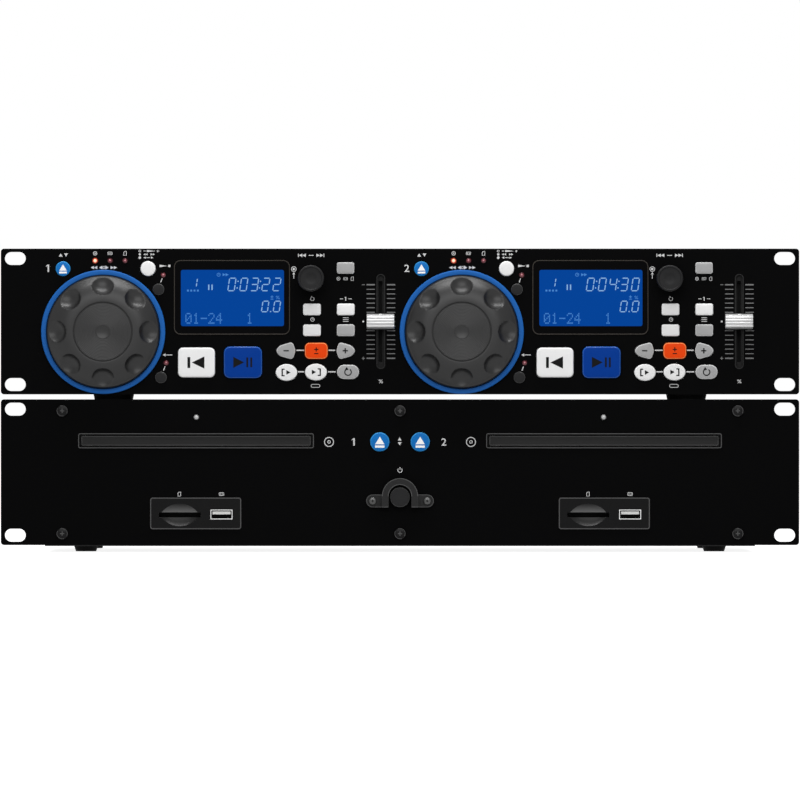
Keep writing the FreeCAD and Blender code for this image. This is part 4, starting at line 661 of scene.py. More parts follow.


# the front panels' bevels take a lighter copy of the paint: a painted highlight
cases = [("control_front_panel", "panelPaint", "panel", "control_unit", "panelEdge"),
         ("drive_front_panel", "panelPaint", "panel", "drive_unit", "panelEdge"),
         ("control_case", "caseSteel", "case", "control_unit"),
         ("drive_top_cover", "caseSteel", "case", "drive_unit"),
         ("drive_chassis", "caseSteel", "case", "drive_unit")]
for values in cases:
    softEdged(*values)
# the trim's and trays' bevels take a lighter dark plastic: a painted highlight
trim = softEdged("drive_panel_trim", "portPlastic", "trim", "drive_unit", "darkRim", 3).data
paintMore(trim, "guardPlastic", lambda at: np.abs(at[:, 0]) < 30)
paintMore(trim, "bezelBlack", lambda at: at[:, 2] > driveZ + 10)
for deck in deckShift:
    softEdged(f"disc_tray_{deck}", "trayPlastic", "panel", f"disc_tray_{deck}", "darkRim")
plainNodes = {"search_shaft_a": "brightSteel", "search_shaft_b": "brightSteel", "drive_screws": "screwBlack",
              "disc_loaders": "dullSteel", "drive_feet": "footRubber", "control_feet": "footRubber"}
for name, finish in plainNodes.items():
    paintNode(name, finish)
print("panels and cases dressed")


# Push buttons

def keyOf(form, wide, high, finish, out=2.0, edge=0.5, corner=1.3):
    return {"form": form, "size": (wide, high), "finish": finish, "out": out, "edge": edge, "corner": corner}


keySet = {
    "eject_button": keyOf("round", 8.8, 8.8, "blue", 1.5, 0.45),
    "mode_button": keyOf("round", 9.0, 9.0, "white", edge=0.6),
    "brake_button": keyOf("round", 7.0, 7.0, "dark", 1.5, 0.45),
    "reverse_button": keyOf("round", 7.0, 7.0, "dark", 1.5, 0.45),
    "cue_button": keyOf("block", 22.2, 18.0, "white", 2.8, 0.8, 3.0),
    "play_button": keyOf("block", 23.0, 19.1, "play", 2.8, 0.8, 3.7),
    "source_button": keyOf("block", 10.4, 6.8, "grey"),
    "repeat_button": keyOf("block", 10.6, 7.0, "white"),
    "single_button": keyOf("block", 10.6, 7.0, "white"),
    "time_button": keyOf("block", 10.6, 7.0, "white"),
    "program_button": keyOf("block", 10.6, 7.0, "grey"),
    "pitch_minus_button": keyOf("leftDrop", 11.5, 9.4, "grey", corner=2.2),
    "pitch_button": keyOf("block", 13.6, 9.6, "orange", edge=0.6, corner=2.8),
    "pitch_plus_button": keyOf("rightDrop", 11.2, 9.4, "grey", corner=2.2),
    "loop_in_button": keyOf("oval", 12.9, 10.1, "white", edge=0.6),
    "loop_out_button": keyOf("oval", 13.2, 10.1, "white", edge=0.6),
    "reloop_button": keyOf("block", 13.3, 8.6, "grey", edge=0.6, corner=4.28),
}
driveKeys = {
    "drive_eject_button_a": keyOf("round", 11.5, 11.5, "blue", edge=0.55),
    "drive_eject_button_b": keyOf("round", 11.5, 11.5, "blue", edge=0.55),
    "power_button": keyOf("round", 12.0, 12.0, "dark", 6.0),
}
flange = {"front": 2.8, "thick": 1.2, "lip": 1.0, "crown": 0.12, "paintedHighlightFrom": 0.985}


def keyOutline(key):
    wide, high = key["size"]
    if key["form"] in ("round", "oval"):
        return ovalOutline(wide, high)
    if key["form"] == "block":
        return boxOutline(wide, high, key["corner"])
    return dropOutline(wide, high, key["corner"], -1 if key["form"] == "leftDrop" else 1)


def keyCentre(node, key):
    # middle of the cap in the panel; a drop is set by its tip
    low, high = nodeBox(node)
    middle, level = nodeMiddle(node)
    ends = keyOutline(key)[:, 0]
    if key["form"] == "leftDrop":
        middle = low[0] + flange["lip"] - ends.min()
    if key["form"] == "rightDrop":
        middle = high[0] - flange["lip"] - ends.max()
    return middle, level


def keyPiece(node, key):
    # cap with a quarter-round front edge, and its flange behind the panel; the rim finish, a lighter copy of
    # the key's colour, goes on the faces that turn away from the front as a painted highlight
    outline, place = keyOutline(key), keyCentre(node, key)
    flangeY = faceY + flange["front"]
    cap = layered(outline, roundedFront(flangeY, faceY - key["out"], key["edge"], flange["crown"]), place)
    rim = layered(outline, [(-flange["lip"], flangeY + flange["thick"]), (-flange["lip"], flangeY)], place)
    pair = (key["finish"] + ("Plastic" if key["finish"] == "dark" else "Key"), key["finish"] + "Rim")
    mesh = addPiece(node + "_cap", [cap, rim], pair, node, (node,)).data
    normals = np.zeros(len(mesh.polygons) * 3)
    mesh.polygons.foreach_get("normal", normals)
    # faces that turn from the front take the lighter copy: a painted highlight
    mesh.polygons.foreach_set("material_index", (normals[1::3] > -flange["paintedHighlightFrom"]).astype(np.int32))


def ejectSign(size):
    # triangle over a bar
    return [triangle(size, size * 0.82, "up", 0, size * 0.16), bar(size, size * 0.24, 0, -size * 0.5)]


def bracketSign(side):
    # bracket with a triangle that points away from it or at it
    arms = [bar(1.1, 0.7, -side * 1.65, rise) for rise in (1.95, -1.95)]
    return [bar(0.8, 4.6, -side * 2.6, 0), *arms, triangle(2.6, 2.8, "right", 1.2 * side, 0)]


keySigns = {
    "eject_button": ejectSign(4.6),
    "cue_button": [bar(1.7, 6.6, -4.6, 0), triangle(7.6, 7.4, "left", 1.0, 0)],
    "play_button": [triangle(6.5, 6.7, "right", -2.6, 0), bar(1.1, 5.9, 2.6, 0), bar(1.1, 5.9, 5.0, 0)],
    "pitch_minus_button": [bar(3.2, 0.75, 0.2, 0)],
    "pitch_plus_button": plusSign(3.2, 0.8, -0.3, 0),
    "pitch_button": plusSign(2.6, 0.6, 0, 0.8) + [bar(2.6, 0.6, 0, -1.7)],
    "loop_in_button": bracketSign(1),
    "loop_out_button": bracketSign(-1),
    "reloop_button": loopSign(4.6, 0, -0.1),
    "drive_eject_button": ejectSign(5.6),
}
allKeys = {f"{name}_{deck}": key for deck in deckShift for name, key in keySet.items()} | driveKeys
for node, key in allKeys.items():
    keyPiece(node, key)
print("keys made")
for deck in deckShift:
    for name, parts in keySigns.items():
        node = f"{name}_{deck}"
        x, z = keyCentre(node, allKeys[node])
        ink = "printBright" if "eject" in name else "printBlack"
        addPiece(node + "_sign", moved(parts, x, faceY - allKeys[node]["out"], z), ink, node)
print("key signs made")


# Jog wheels and their rings

wheel = {"radius": 34.2, "out": 14.0, "insert": 17.3, "groove": 0.75, "grooveDeep": 1.8, "gap": 0.5,
         "well": 4.05, "wellDeep": 0.6, "lineGap": 0.86, "lineDeep": 0.06, "steps": 288, "crease": 28,
         "hub": 7.0, "web": 5.0, "wall": 2.5, "shaft": 3.0, "shaftTo": 9.8}
shoulder = {"edge": 32.8, "fall": 6.4, "power": 2.2, "edgeFall": 2.2, "sideTo": 9.6}
dimple = {"count": 8, "at": 30.6, "ball": 9.0, "deep": 6.7}
ring = {"outer": 37.5, "inner": 34.5, "out": 3.0, "edge": 0.7, "innerEdge": 0.3, "steps": 144}


def wheelProfile():
    # (radius, depth behind the front): dished boss, grooves that are a cosine of the radius, a narrow gap, a
    # shoulder that falls as a power of the share of its width, and a quarter of an ellipse
    well, edge, cut, deep = wheel["well"], wheel["insert"], wheel["groove"], wheel["grooveDeep"]
    boss = np.linspace(0, 1, 9)
    dish = np.stack([well * boss, wheel["wellDeep"] * (1 - boss ** 2)], -1)
    step = [(well + 0.05, 0.3), (well + 0.3, 0.3), (well + 0.36, 0.02)]
    radius = np.arange(well + 0.5, edge - 0.4, wheel["lineGap"] / 6)
    wave = 1 - np.cos(2 * math.pi * radius / wheel["lineGap"])
    grooves = np.stack([radius, wheel["lineDeep"] * wave], -1)
    gap = [(edge - 0.25, 0.0), (edge - 0.06, 0.06), (edge, 0.2), (edge, deep), (edge + cut, deep),
           (edge + cut * 1.02, 0.2), (edge + cut * 1.1, 0.06), (edge + cut * 1.3, 0.02)]
    start = gap[-1][0]
    share = np.linspace(0, 1, 31)[1:]
    slope = 0.02 + shoulder["fall"] * share ** shoulder["power"]
    fall = np.stack([start + (shoulder["edge"] - start) * share, slope], -1)
    share = np.sin(np.linspace(0, quarter, 12))[1:]
    slope = slope[-1] + shoulder["edgeFall"] * (1 - np.sqrt(1 - share ** 2)) + 0.5 * share
    widest, back = wheel["radius"], wheel["out"] - wheel["gap"]
    rim = np.stack([shoulder["edge"] + (widest - shoulder["edge"]) * share, slope], -1)
    side = [(widest, shoulder["sideTo"]), (widest, back - 0.3), (widest - 0.3, back)]
    return np.concatenate([dish, step, grooves, gap, fall, rim, side])


def wheelForm():
    # dimpled face, its depth the deeper of the profile and the balls round it; behind it rim, web and shaft
    profile = wheelProfile()
    turn = np.linspace(0, 2 * math.pi, wheel["steps"], endpoint=False) + quarter
    radius = profile[:, :1]
    slopes = (radius > wheel["insert"] + wheel["groove"]) & (radius < wheel["radius"] - 0.05)
    x, z = radius * np.cos(turn), radius * np.sin(turn)
    depth = np.broadcast_to(profile[:, 1:], x.shape)
    for angle in quarter + np.arange(dimple["count"]) * 2 * math.pi / dimple["count"]:
        along = x * math.cos(angle) + z * math.sin(angle) - dimple["at"]
        across = z * math.cos(angle) - x * math.sin(angle)
        reach = dimple["ball"] ** 2 - along ** 2 - across ** 2
        bowl = dimple["deep"] - dimple["ball"] + np.sqrt(np.maximum(reach, 0))
        depth = np.where((reach > 0) & slopes, np.maximum(depth, bowl), depth)
    front = faceY - wheel["out"]
    inner, hub, shaft = wheel["radius"] - wheel["wall"], wheel["hub"], wheel["shaft"]
    backY, webY, endY = faceY - wheel["gap"], faceY - wheel["web"], faceY + wheel["shaftTo"]
    back = np.array([(inner, backY), (inner, webY), (hub, webY), (hub, backY), (shaft, backY), (shaft, endY)])
    rings = np.concatenate([spun(radius, depth + front, turn)[1:], spun(back[:, :1], back[:, 1:], turn)])
    return capped(rings, [[0, front + wheel["wellDeep"], 0], [0, endY, 0]], True)


def jogRing():
    # flat front between two quarter-round edges
    outer, inner, edge, small = ring["outer"], ring["inner"], ring["edge"], ring["innerEdge"]
    front = faceY - ring["out"]
    arc = np.linspace(0, quarter, 6)
    outside = np.stack([outer - edge + edge * np.cos(arc), front + edge - edge * np.sin(arc)], -1)
    inside = np.stack([inner + small - small * np.sin(arc), front + small - small * np.cos(arc)], -1)
    profile = np.concatenate([[(outer, faceY)], outside, inside, [(inner, faceY)]])
    return turned(profile, ring["steps"], ring=True)


ringParts = []
for deck in deckShift:
    node = f"jog_wheel_{deck}"
    x, z = nodeMiddle(node)
    addPiece(node + "_face", moved([wheelForm()], x, 0, z), "wheelPlastic", node, (node,), wheel["crease"])
    ringParts += moved([jogRing()], x, 0, z)
addPiece("jog_rings_blue", ringParts, "ringBlue", "control_unit", ("control_panel_trim",))
print("jog wheels made")


# Displays; places are from the middle of the control panel, as on deck a

window = {"at": (-101.6, 14.6), "size": (70.1, 45.0), "corner": 4.0, "out": 0.4, "back": 2.5,
          "glass": (62.3, 34.0), "glassAt": (-101.3, 14.2), "glassIn": 0.12}
clock = {"at": (-101.6, -94.4, -87.9, -81.1, -74.4), "z": 22.4, "size": (3.9, 7.6), "colons": (-98.1, -84.6),
         "line": 0.62, "time": {"a": "00322", "b": "00430"}}
segments = {"0": "abcdef", "1": "bc", "2": "abged", "3": "abgcd", "4": "fgbc"}
dotFigures = {"0": (14, 17, 19, 21, 25, 17, 14), "1": (4, 12, 4, 4, 4, 4, 14), "2": (14, 17, 1, 2, 4, 8, 31),
              "4": (2, 6, 10, 18, 31, 2, 2), "-": (0, 0, 0, 31, 0, 0, 0), " ": (0,)}


def onBothDecks(parts, y=0):
    # parts placed from the middle of the control panel, made once for each deck
    return [part for shift in deckShift.values() for part in moved(parts, shift, y, controlZ)]


def digitParts(digit, wide, high, line, x, z, slant=0.15):
    # up to seven bars with pointed ends, sheared to the right by slant times their height
    half, tall, t = wide / 2, high / 2, line / 2
    bars = {"a": (0, tall, 1), "g": (0, 0, 1), "d": (0, -tall, 1), "f": (-half, tall / 2, 0),
            "b": (half, tall / 2, 0), "e": (-half, -tall / 2, 0), "c": (half, -tall / 2, 0)}
    made = []
    for name in segments[digit]:
        barX, barZ, lying = bars[name]
        end = (wide if lying else tall) / 2 - 0.22
        side = end - t
        shape = np.array([(-end, 0), (-side, -t), (side, -t), (end, 0), (side, t), (-side, t)])
        shape = (shape if lying else shape[:, ::-1] * [-1, 1]) + [barX, barZ]
        shape[:, 0] += slant * shape[:, 1]
        made.append(flatSign(shape, x, z))
    return made


def dotLine(figures, x, z):
    # figures of five by seven dots, from the left and downwards from z; each row's bits are its dots
    return [bar(0.6, 0.72, x + (place * 6 + column) * 0.77, z - row * 0.95)
            for place, figure in enumerate(figures) for row, bits in enumerate(dotFigures[figure])
            for column in range(5) if bits >> (4 - column) & 1]


def brightInk(figures):
    # running time, pitch value, track number and pause bars
    made = []
    for x, figure in zip(clock["at"], figures):
        made += digitParts(figure, *clock["size"], clock["line"], x, clock["z"])
    for x in clock["colons"]:
        made += [dot(0.85, x + 0.25, clock["z"] + 1.9), dot(0.85, x - 0.35, clock["z"] - 2.1)]
    for x in (-81.5, -74.4):
        made += digitParts("0", 3.6, 6.4, clock["line"], x, 9.1)
    made += [dot(0.8, -78.2, 6.0)] + digitParts("1", 3.0, 5.2, 0.6, -124.3, 23.5)
    return made + [bar(0.75, 3.3, x, 20.7) for x in (-115.6, -113.6)]


def faintInk():
    # small signs and the dotted line
    made = dotLine("01-24   1", -129.4, 4.75)
    made += [bar(1.1, 1.1, x, 18.7) for x in (-128.2, -126.2, -124.2, -122.2)]
    made += clockSign(2.3, -109.6, 28.3) + seekSign(1.8, "right", -105.4, 28.3)
    made += plusSign(1.7, 0.4, -77.4, 14.9) + [bar(1.7, 0.4, -77.4, 13.5)]
    return made + [numberPrint("%", 2.0, 2.3, -73.9, 14.5, 0.01)]


frontY = faceY - window["out"]
seatY, glassY = frontY + 0.15, frontY + window["glassIn"]
outline = boxOutline(*window["size"], window["corner"])
bevel = [(0, seatY), (0.05, frontY + 0.02), (0.2, frontY), (0.4, frontY), (0.5, frontY + 0.06), (0.5, seatY)]
body = [(0, faceY + window["back"]), (0, seatY), (0.45, seatY)]
glass = slab(*window["glass"], glassY, frontY + 0.3, window["glassAt"], 1.2)
ink = [part for deck, shift in deckShift.items()
       for part in moved(brightInk(clock["time"][deck]), shift, glassY, controlZ)]
rim = layered(outline, bevel, window["at"], hollow=True)
addPiece("display_windows", onBothDecks([layered(outline, body, window["at"])]), "windowBlack", "control_unit")
# the window's bevelled rim in a lighter brown-grey: a painted highlight
addPiece("display_edges_painted_highlight", onBothDecks([rim]), "windowEdge", "control_unit")
addPiece("display_fields", onBothDecks([glass]), "displayBlue", "control_unit")
addPiece("display_ink", ink, "displayInk", "control_unit")
addPiece("display_faint_ink", onBothDecks(faintInk(), glassY), "displayFaint", "control_unit")
print("displays made")


# Track knobs and pitch faders

knob = {"radius": 8.0, "tip": 7.9, "out": 17.0, "gap": 1.5, "flutes": 40, "flute": 0.1, "bore": 3.05,
        "boreTo": 13.1, "dish": 6.4, "dishDeep": 0.7, "dent": 3.5}
fader = {"wide": 16.7, "high": 9.2, "top": 7.0, "out": 10.0, "gap": 0.8, "stem": (1.6, 4.0), "stemTo": 8.8,
         "grooves": (-1.75, 0.0, 1.75), "nub": (2.2, 1.4)}
slotLiner = {"size": (5.2, 57.4), "corner": 2.5, "line": 0.45, "x": -11.6, "out": 0.12, "deep": 2.2}


def knobForm():
    # dished face inside a rounded lip, then a skirt whose radius waves with the angle, fading at both ends
    turn = np.linspace(0, 2 * math.pi, knob["flutes"] * 6, endpoint=False)
    dish, out, tip = knob["dish"], -knob["out"], knob["tip"]
    floorY = out + knob["dishDeep"]
    lip = (tip - dish) / 2
    face = np.array([(0.6, floorY + 0.35), (2.0, floorY + 0.32), (3.0, floorY + 0.12), (knob["dent"], floorY),
                     (4.6, floorY), (dish - 0.3, floorY - 0.03)])
    arc = np.linspace(0, math.pi, 12)
    edge = np.stack([dish + lip - lip * np.cos(arc), out + lip - lip * np.sin(arc)], -1)
    edge[:3, 1] = np.minimum(edge[:3, 1], floorY - 0.05)
    share = np.linspace(0, 1, 9)[1:]
    run = out + lip - (knob["gap"] + out + lip) * share
    skirt = np.stack([tip + (knob["radius"] - tip) * share, run], -1)
    bore = [(knob["bore"], -knob["gap"]), (knob["bore"], -knob["boreTo"])]
    profile = np.concatenate([face, edge, skirt, bore])
    wave = np.zeros((len(profile), 1))
    first = len(face) + len(edge)
    wave[first:first + len(skirt), 0] = [0.5, 1, 1, 1, 1, 1, 0.6, 0.0]
    radius = profile[:, :1] - knob["flute"] * wave * (1 - np.cos(turn * knob["flutes"]))
    tips = [[0, faceY + end, 0] for end in (floorY + 0.35, -knob["boreTo"])]
    return capped(spun(radius, faceY + profile[:, 1:], turn), tips, True)


def faderProfile():
    # closed side view (y, z): sloping flanks, and a crown of flat ridges between grooves that are bell curves
    top, out, gap = fader["top"] / 2, fader["out"], fader["gap"]
    z = np.linspace(-top + 0.4, top - 0.4, 57)
    groove = np.exp(-((z[:, None] - np.array(fader["grooves"])) / 0.3) ** 2).sum(1)
    low = np.array([(-gap, -fader["high"] / 2), (-gap - 3.0, -fader["high"] / 2 + 0.15),
                    (-out + 1.6, -top - 0.35), (-out + 0.85, -top + 0.1)])
    return np.concatenate([low, np.stack([-out + 0.75 * groove + 0.05 * z ** 2, z], -1), low[::-1] * [1, -1]])


def faderParts():
    # the side view carried across X, drawn in a little at both ends
    profile = faderProfile()
    wide, out, gap = fader["wide"] / 2, fader["out"], fader["gap"]
    stations = np.array([-wide, -wide + 0.12, -wide + 0.5, wide - 0.5, wide - 0.12, wide])
    shrink = np.array([0.93, 0.975, 1.0, 1.0, 0.975, 0.93])[:, None]
    y = faceY + (profile[:, 0] + gap) * shrink - gap
    rings = np.stack([np.broadcast_to(stations[:, None], y.shape), y, profile[:, 1] * shrink], -1)
    tips = [[side * wide, faceY - out / 2, 0] for side in (-1, 1)]
    stem = slab(*fader["stem"], faceY - gap - 0.5, faceY + fader["stemTo"], (0, 0))
    nub = layered(boxOutline(*fader["nub"], 0.5, 3), [(0, 2.2), (0, 0.9), (0.25, 0.65)])
    return [capped(rings, tips, False), stem] + moved([nub], 0, faceY - out, fader["top"] / 2 + 0.35)


handles = (("search_knob", "_grip", [knobForm()], "darkPlastic"),
           ("pitch_fader", "_cap", faderParts(), "silverCap"))
for deck in deckShift:
    for kind, word, parts, finish in handles:
        node = f"{kind}_{deck}"
        x, z = nodeMiddle(node)
        addPiece(node + word, moved(parts, x, 0, z), finish, node, (node,))
line, deep, out = slotLiner["line"], faceY + slotLiner["deep"], faceY - slotLiner["out"]
outline = boxOutline(*slotLiner["size"], slotLiner["corner"])
layers = [(0, deep), (0, out), (line, out), (line, deep)]
liner = layered(outline, layers, (slotLiner["x"], 0), hollow=True)
addPiece("fader_slot_liners", onBothDecks([liner]), "slotEdge", "control_unit")
print("knobs and faders made")


# Lamps and electronics

lamp = {"radius": 1.62, "out": 0.95, "base": 0.5, "lit": (-184.3, 36.7),
        "dark": ((-175.25, 36.7), (-166.2, 36.7), (-143.1, 28.0), (-141.4, -25.1)), "driveX": 123.1,
        "driveZ": 33.2, "glow": 0.95, "paintedGleam": 0.5, "paintedGleamUp": 0.15, "spotOut": 0.06, "spotCrown": 0.2,
        "spotBase": -0.4, "steps": (28, 7), "spotSteps": (20, 4)}
port = {"x": 123.5, "plugX": 15.6, "plugZ": -25.55}


def lampDome(x, z):
    return dome(lamp["radius"], faceY + lamp["base"], faceY, lamp["out"], *lamp["steps"], x, z)


def lampSpot(wide, x, z):
    # small bright cap on the front of a dome: the glowing core of a lit lamp, or a painted highlight on an
    # unlit one
    front = faceY - lamp["out"] - lamp["spotOut"] + lamp["spotCrown"]
    return dome(wide, faceY + lamp["spotBase"], front, lamp["spotCrown"], *lamp["spotSteps"], x, z)


def onDecks(places):
    return [(x + shift, z + controlZ) for shift in deckShift.values() for x, z in places]


lit, dark = onDecks([lamp["lit"]]), onDecks(lamp["dark"])
addPiece("deck_lamps_lit", [lampDome(*at) for at in lit], "lampLit", "control_unit")
addPiece("deck_lamps_glow", [lampSpot(lamp["glow"], *at) for at in lit], "lampCore", "control_unit")
addPiece("deck_lamps_unlit", [lampDome(*at) for at in dark], "lampRed", "control_unit")
# a pale spot a little above the middle of each unlit lamp: a painted highlight
paintedGleams = [lampSpot(lamp["paintedGleam"], x, z + lamp["paintedGleamUp"]) for x, z in dark]
addPiece("deck_lamps_painted_gleam", paintedGleams, "lampSpot", "control_unit")
clear = [lampDome(side * lamp["driveX"], driveZ + lamp["driveZ"]) for side in (-1, 1)]
addPiece("drive_lamps", clear, "lampClear", "drive_unit")


def controlElectronicsFinish(at):
    # 0 board, 1 dark plastic
    return np.where((at[:, 1] > faceY + 10.2) & (at[:, 1] < faceY + 12), 0, 1)


def driveElectronicsFinish(at):
    # 0 board, 1 dark plastic, 2 bright steel, 3 nickel, 4 black, which is painted shade inside the plug shells
    index = np.ones(len(at))
    across, deep, level = at[:, 0], at[:, 1] - faceY, at[:, 2]
    index[(level > 11) & (level < 13.4) & (deep > 50)] = 0
    for side in (-1, 1):
        near = (np.abs(across - side * port["x"] - port["plugX"]) < 7) & (deep < 15)
        near &= np.abs(level - driveZ - port["plugZ"]) < 4
        # inside each plug shell all is black as painted shade; only the shell's front edge stays bright steel
        index[near] = 4
        index[near & (deep < deep[near].min() + 0.05)] = 2
    index[(deep > 244.6) & (across < -50)] = 3
    index[(across < -90) & (deep > 180) & (deep < 240) & (level < 40)] = 2
    return index


paintNode("control_electronics", "boardGreen", "slotInside", chooser=controlElectronicsFinish)
paintNode("drive_electronics", "boardGreen", "darkPlastic", "brightSteel", "nickel", "windowBlack",
          chooser=driveElectronicsFinish)
plugFront = faceMiddles(nodes["drive_electronics"].data)[:, 1].min()
print("lamps and electronics dressed")


# Domed screw heads, scooped card slots with painted light, and lines painted as highlights on the drive unit's
# edges

# ring gives two painted highlight arcs round each panel screw head; cross gives light crosses on them
screwHead = {"x": (-204.2, 0.0, 204.2), "z": 37.1, "radius": 3.42, "crown": 0.75, "high": 1.7, "cross": 2.6,
             "ring": (6.5, 0.3), "ringOut": 2.1, "ringFrom": (-30, 150), "ringTurn": 140, "guardX": 16.5,
             "guardZ": -17.35, "guardOut": 2.5, "guardRadius": 2.17, "guardCross": 1.8, "steps": (40, 10)}
# light and dark are the painted light at the slot and the painted shade at the top of the upper scoops
scoop = {"x": -9.7, "z": -25.8, "wide": 24.0, "high": 13.5, "deep": 2.6, "slot": 1.55, "plate": 0.82,
         "light": 0.15, "dark": 0.004}
contact = {"size": (10.9, 1.75), "in": 0.8, "thick": 0.2, "up": 0.95, "radius": 0.3}
# the line widths of the tray and plate tables draw their outlines as painted highlights
tray = {"x": 123.3, "z": 19.0, "bezel": (142.4, 9.0, 1.2), "line": 0.5, "door": (138.4, 5.6, 0.6),
        "doorLine": 0.35}
plate = {"size": (55.0, 19.1, 1.5), "line": 0.6, "z": -24.9, "out": 0.8}
guard = {"arcs": (21.8, 14.7), "z": -14.5, "foot": (3.6, 9.0, -20.97), "out": 7.0, "ear": 7.7, "earX": 16.55,
         "earHalf": 3.65, "bar": (5.6, 13.7), "line": 0.45, "earLine": 0.4}


def headDomes(places, base, radius):
    # elliptical crowns on short round walls
    front = base - screwHead["high"]
    return [dome(radius, base - 0.02, front, screwHead["crown"], *screwHead["steps"], *at) for at in places]


def headCross(size, base, x, z):
    # three plates, flush with the crown's top, standing for the cross recess: black ones are painted shade,
    # light grey ones painted highlights
    plates = [bar(size, size * 0.24, x, z)]
    plates += [bar(size * 0.24, size * 0.38, x, z + way * size * 0.31) for way in (1, -1)]
    return moved(plates, 0, base - screwHead["high"] - screwHead["crown"], 0)


def scoopHalf(x, z, way):
    # half of a lens-shaped hollow above or below the slot: depth falls as one less the square of the height
    half, rise = scoop["wide"] / 2, scoop["high"] / 2
    radius = (half ** 2 + rise ** 2) / (2 * rise)
    reach = math.sqrt(radius ** 2 - (scoop["slot"] + radius - rise) ** 2)
    across = np.sin(np.linspace(-quarter, quarter, 41)) * (reach - 0.02)
    edge = rise - radius + np.sqrt(radius ** 2 - across ** 2)
    level = scoop["slot"] + (edge - scoop["slot"]) * np.linspace(0, 1, 15)[:, None]
    depth = faceY - scoop["plate"] + scoop["deep"] * (1 - (level / edge) ** 2) * edge / rise
    front = np.stack([np.broadcast_to(across + x, level.shape), depth, way * level + z], -1).reshape(-1, 3)
    rows, columns = level.shape
    count = rows * columns
    row, column = np.meshgrid(np.arange(rows - 1), np.arange(columns - 1), indexing="ij")
    corner = (row * columns + column).ravel()
    quads = np.stack([corner, corner + 1, corner + columns + 1, corner + columns], -1)
    rim = np.concatenate([np.arange(columns), np.arange(2, rows + 1) * columns - 1,
                          np.arange(count - 2, count - columns - 1, -1), np.arange(rows - 2, 0, -1) * columns])
    after = np.roll(rim, -1)
    sides = np.stack([after, rim, rim + count, after + count], -1)
    if way < 0:
        quads, sides = quads[:, ::-1], sides[:, ::-1]
    return np.concatenate([front, front + [0, 0.2, 0]]), [quads, quads[:, ::-1] + count, sides]


def paintLightOnScoop():
    # painted light and shade: the upper scoop's tint falls evenly with height, from light at the slot to dark
    # at the top
    tree = finishes["scoopHigh"].node_tree
    height = addNode(tree, "SeparateXYZ", {"Vector": addNode(tree, "TexCoord")["Object"]})["Z"]
    slot, top = driveZ + scoop["z"] + scoop["slot"], driveZ + scoop["z"] + scoop["high"] / 2
    shade = addNode(tree, "MapRange", {"Value": height, "From Min": slot / 1000, "From Max": top / 1000,
                                       "To Min": scoop["light"], "To Max": scoop["dark"]})["Result"]
    skin = next(node for node in tree.nodes if node.type == "GROUP")
    wire(tree, skin, {"Tint": shade})


def guardLines():
    # painted highlight lines along the arch, its feet, and the outline of each ear
    foot, footX, footZ = guard["foot"]
    line, thin, earZ, earOut = guard["line"], guard["earLine"], screwHead["guardZ"], screwHead["guardOut"]
    arch = [arcLine(wide, line, 0, 180, 0, guard["z"]) for wide in guard["arcs"]]
    arch += [bar(foot, line, side * footX, footZ) for side in (1, -1)]
    long, barX = guard["bar"]
    ears = [arcLine(guard["ear"], thin, first, first + 180, side * guard["earX"], earZ)
            for side, first in ((-1, 90), (1, -90))]
    ears += [bar(long, thin, side * barX, earZ + rise) for side in (-1, 1)
             for rise in (-guard["earHalf"], guard["earHalf"])]
    return moved(arch, 0, faceY - guard["out"], driveZ) + moved(ears, 0, faceY - earOut, driveZ)


panelHeads = [(x, driveZ + way * screwHead["z"]) for x in screwHead["x"] for way in (-1, 1)]
guardHeads = [(side * screwHead["guardX"], driveZ + screwHead["guardZ"]) for side in (-1, 1)]
guardBase = faceY - screwHead["guardOut"]
addPiece("panel_screw_heads", headDomes(panelHeads, faceY, screwHead["radius"]), "screwBlack", "drive_unit")
guardDomes = headDomes(guardHeads, guardBase, screwHead["guardRadius"])
addPiece("guard_screw_heads", guardDomes, "screwSteel", "drive_unit")
# black crosses on the guard screws: painted shade in the recess
crosses = [part for at in guardHeads for part in headCross(screwHead["guardCross"], guardBase, *at)]
addPiece("screw_head_crosses_painted_shade", crosses, "printBlack", "drive_unit")
paintLightOnScoop()
# upper halves get the painted gradient of light and shade; lower halves stay plain dark
for name, way, finish in (("card_scoops_upper_painted_light", 1, "scoopHigh"), ("card_scoops_lower", -1, "scoopLow")):
    halves = [scoopHalf(side * port["x"] + scoop["x"], driveZ + scoop["z"], way) for side in (-1, 1)]
    addPiece(name, halves, finish, "drive_unit")
contactY, contactZ = plugFront + contact["in"], driveZ + port["plugZ"] + contact["up"]
contacts = [slab(*contact["size"], contactY, contactY + contact["thick"],
                 (side * port["x"] + port["plugX"], contactZ), contact["radius"]) for side in (-1, 1)]
addPiece("plug_contacts", contacts, "contactWhite", "drive_unit")
# painted highlights: arcs and light crosses on the panel screws, outlines of the tray bezels, port plates and
# guard
rings = [arcLine(*screwHead["ring"], first, first + screwHead["ringTurn"], *at)
         for at in panelHeads for first in screwHead["ringFrom"]]
frames = []
for side in (-1, 1):
    frames += [frameLine(boxOutline(*tray["bezel"]), tray["line"], side * tray["x"], tray["z"]),
               frameLine(boxOutline(*plate["size"]), plate["line"], side * port["x"], plate["z"])]
lines = [part for at in panelHeads for part in headCross(screwHead["cross"], faceY, *at)]
lines += moved(rings, 0, faceY - screwHead["ringOut"], 0) + moved(frames, 0, faceY - plate["out"], driveZ)
addPiece("drive_painted_edge_highlights", lines + guardLines(), "edgeLine", "drive_unit")
for deck, side in traySide.items():
    node = f"disc_tray_{deck}"
    # the door's outline is a painted highlight
    door = frameLine(boxOutline(*tray["door"]), tray["doorLine"], side * tray["x"], driveZ + tray["z"])
    addPiece(node + "_edge", moved([door], 0, nodeBox(node)[0][1], 0), "edgeLine", node)
print("fittings dressed")


# Printed numbers and signs; places are from the middle of each panel, on the control panel as on deck a

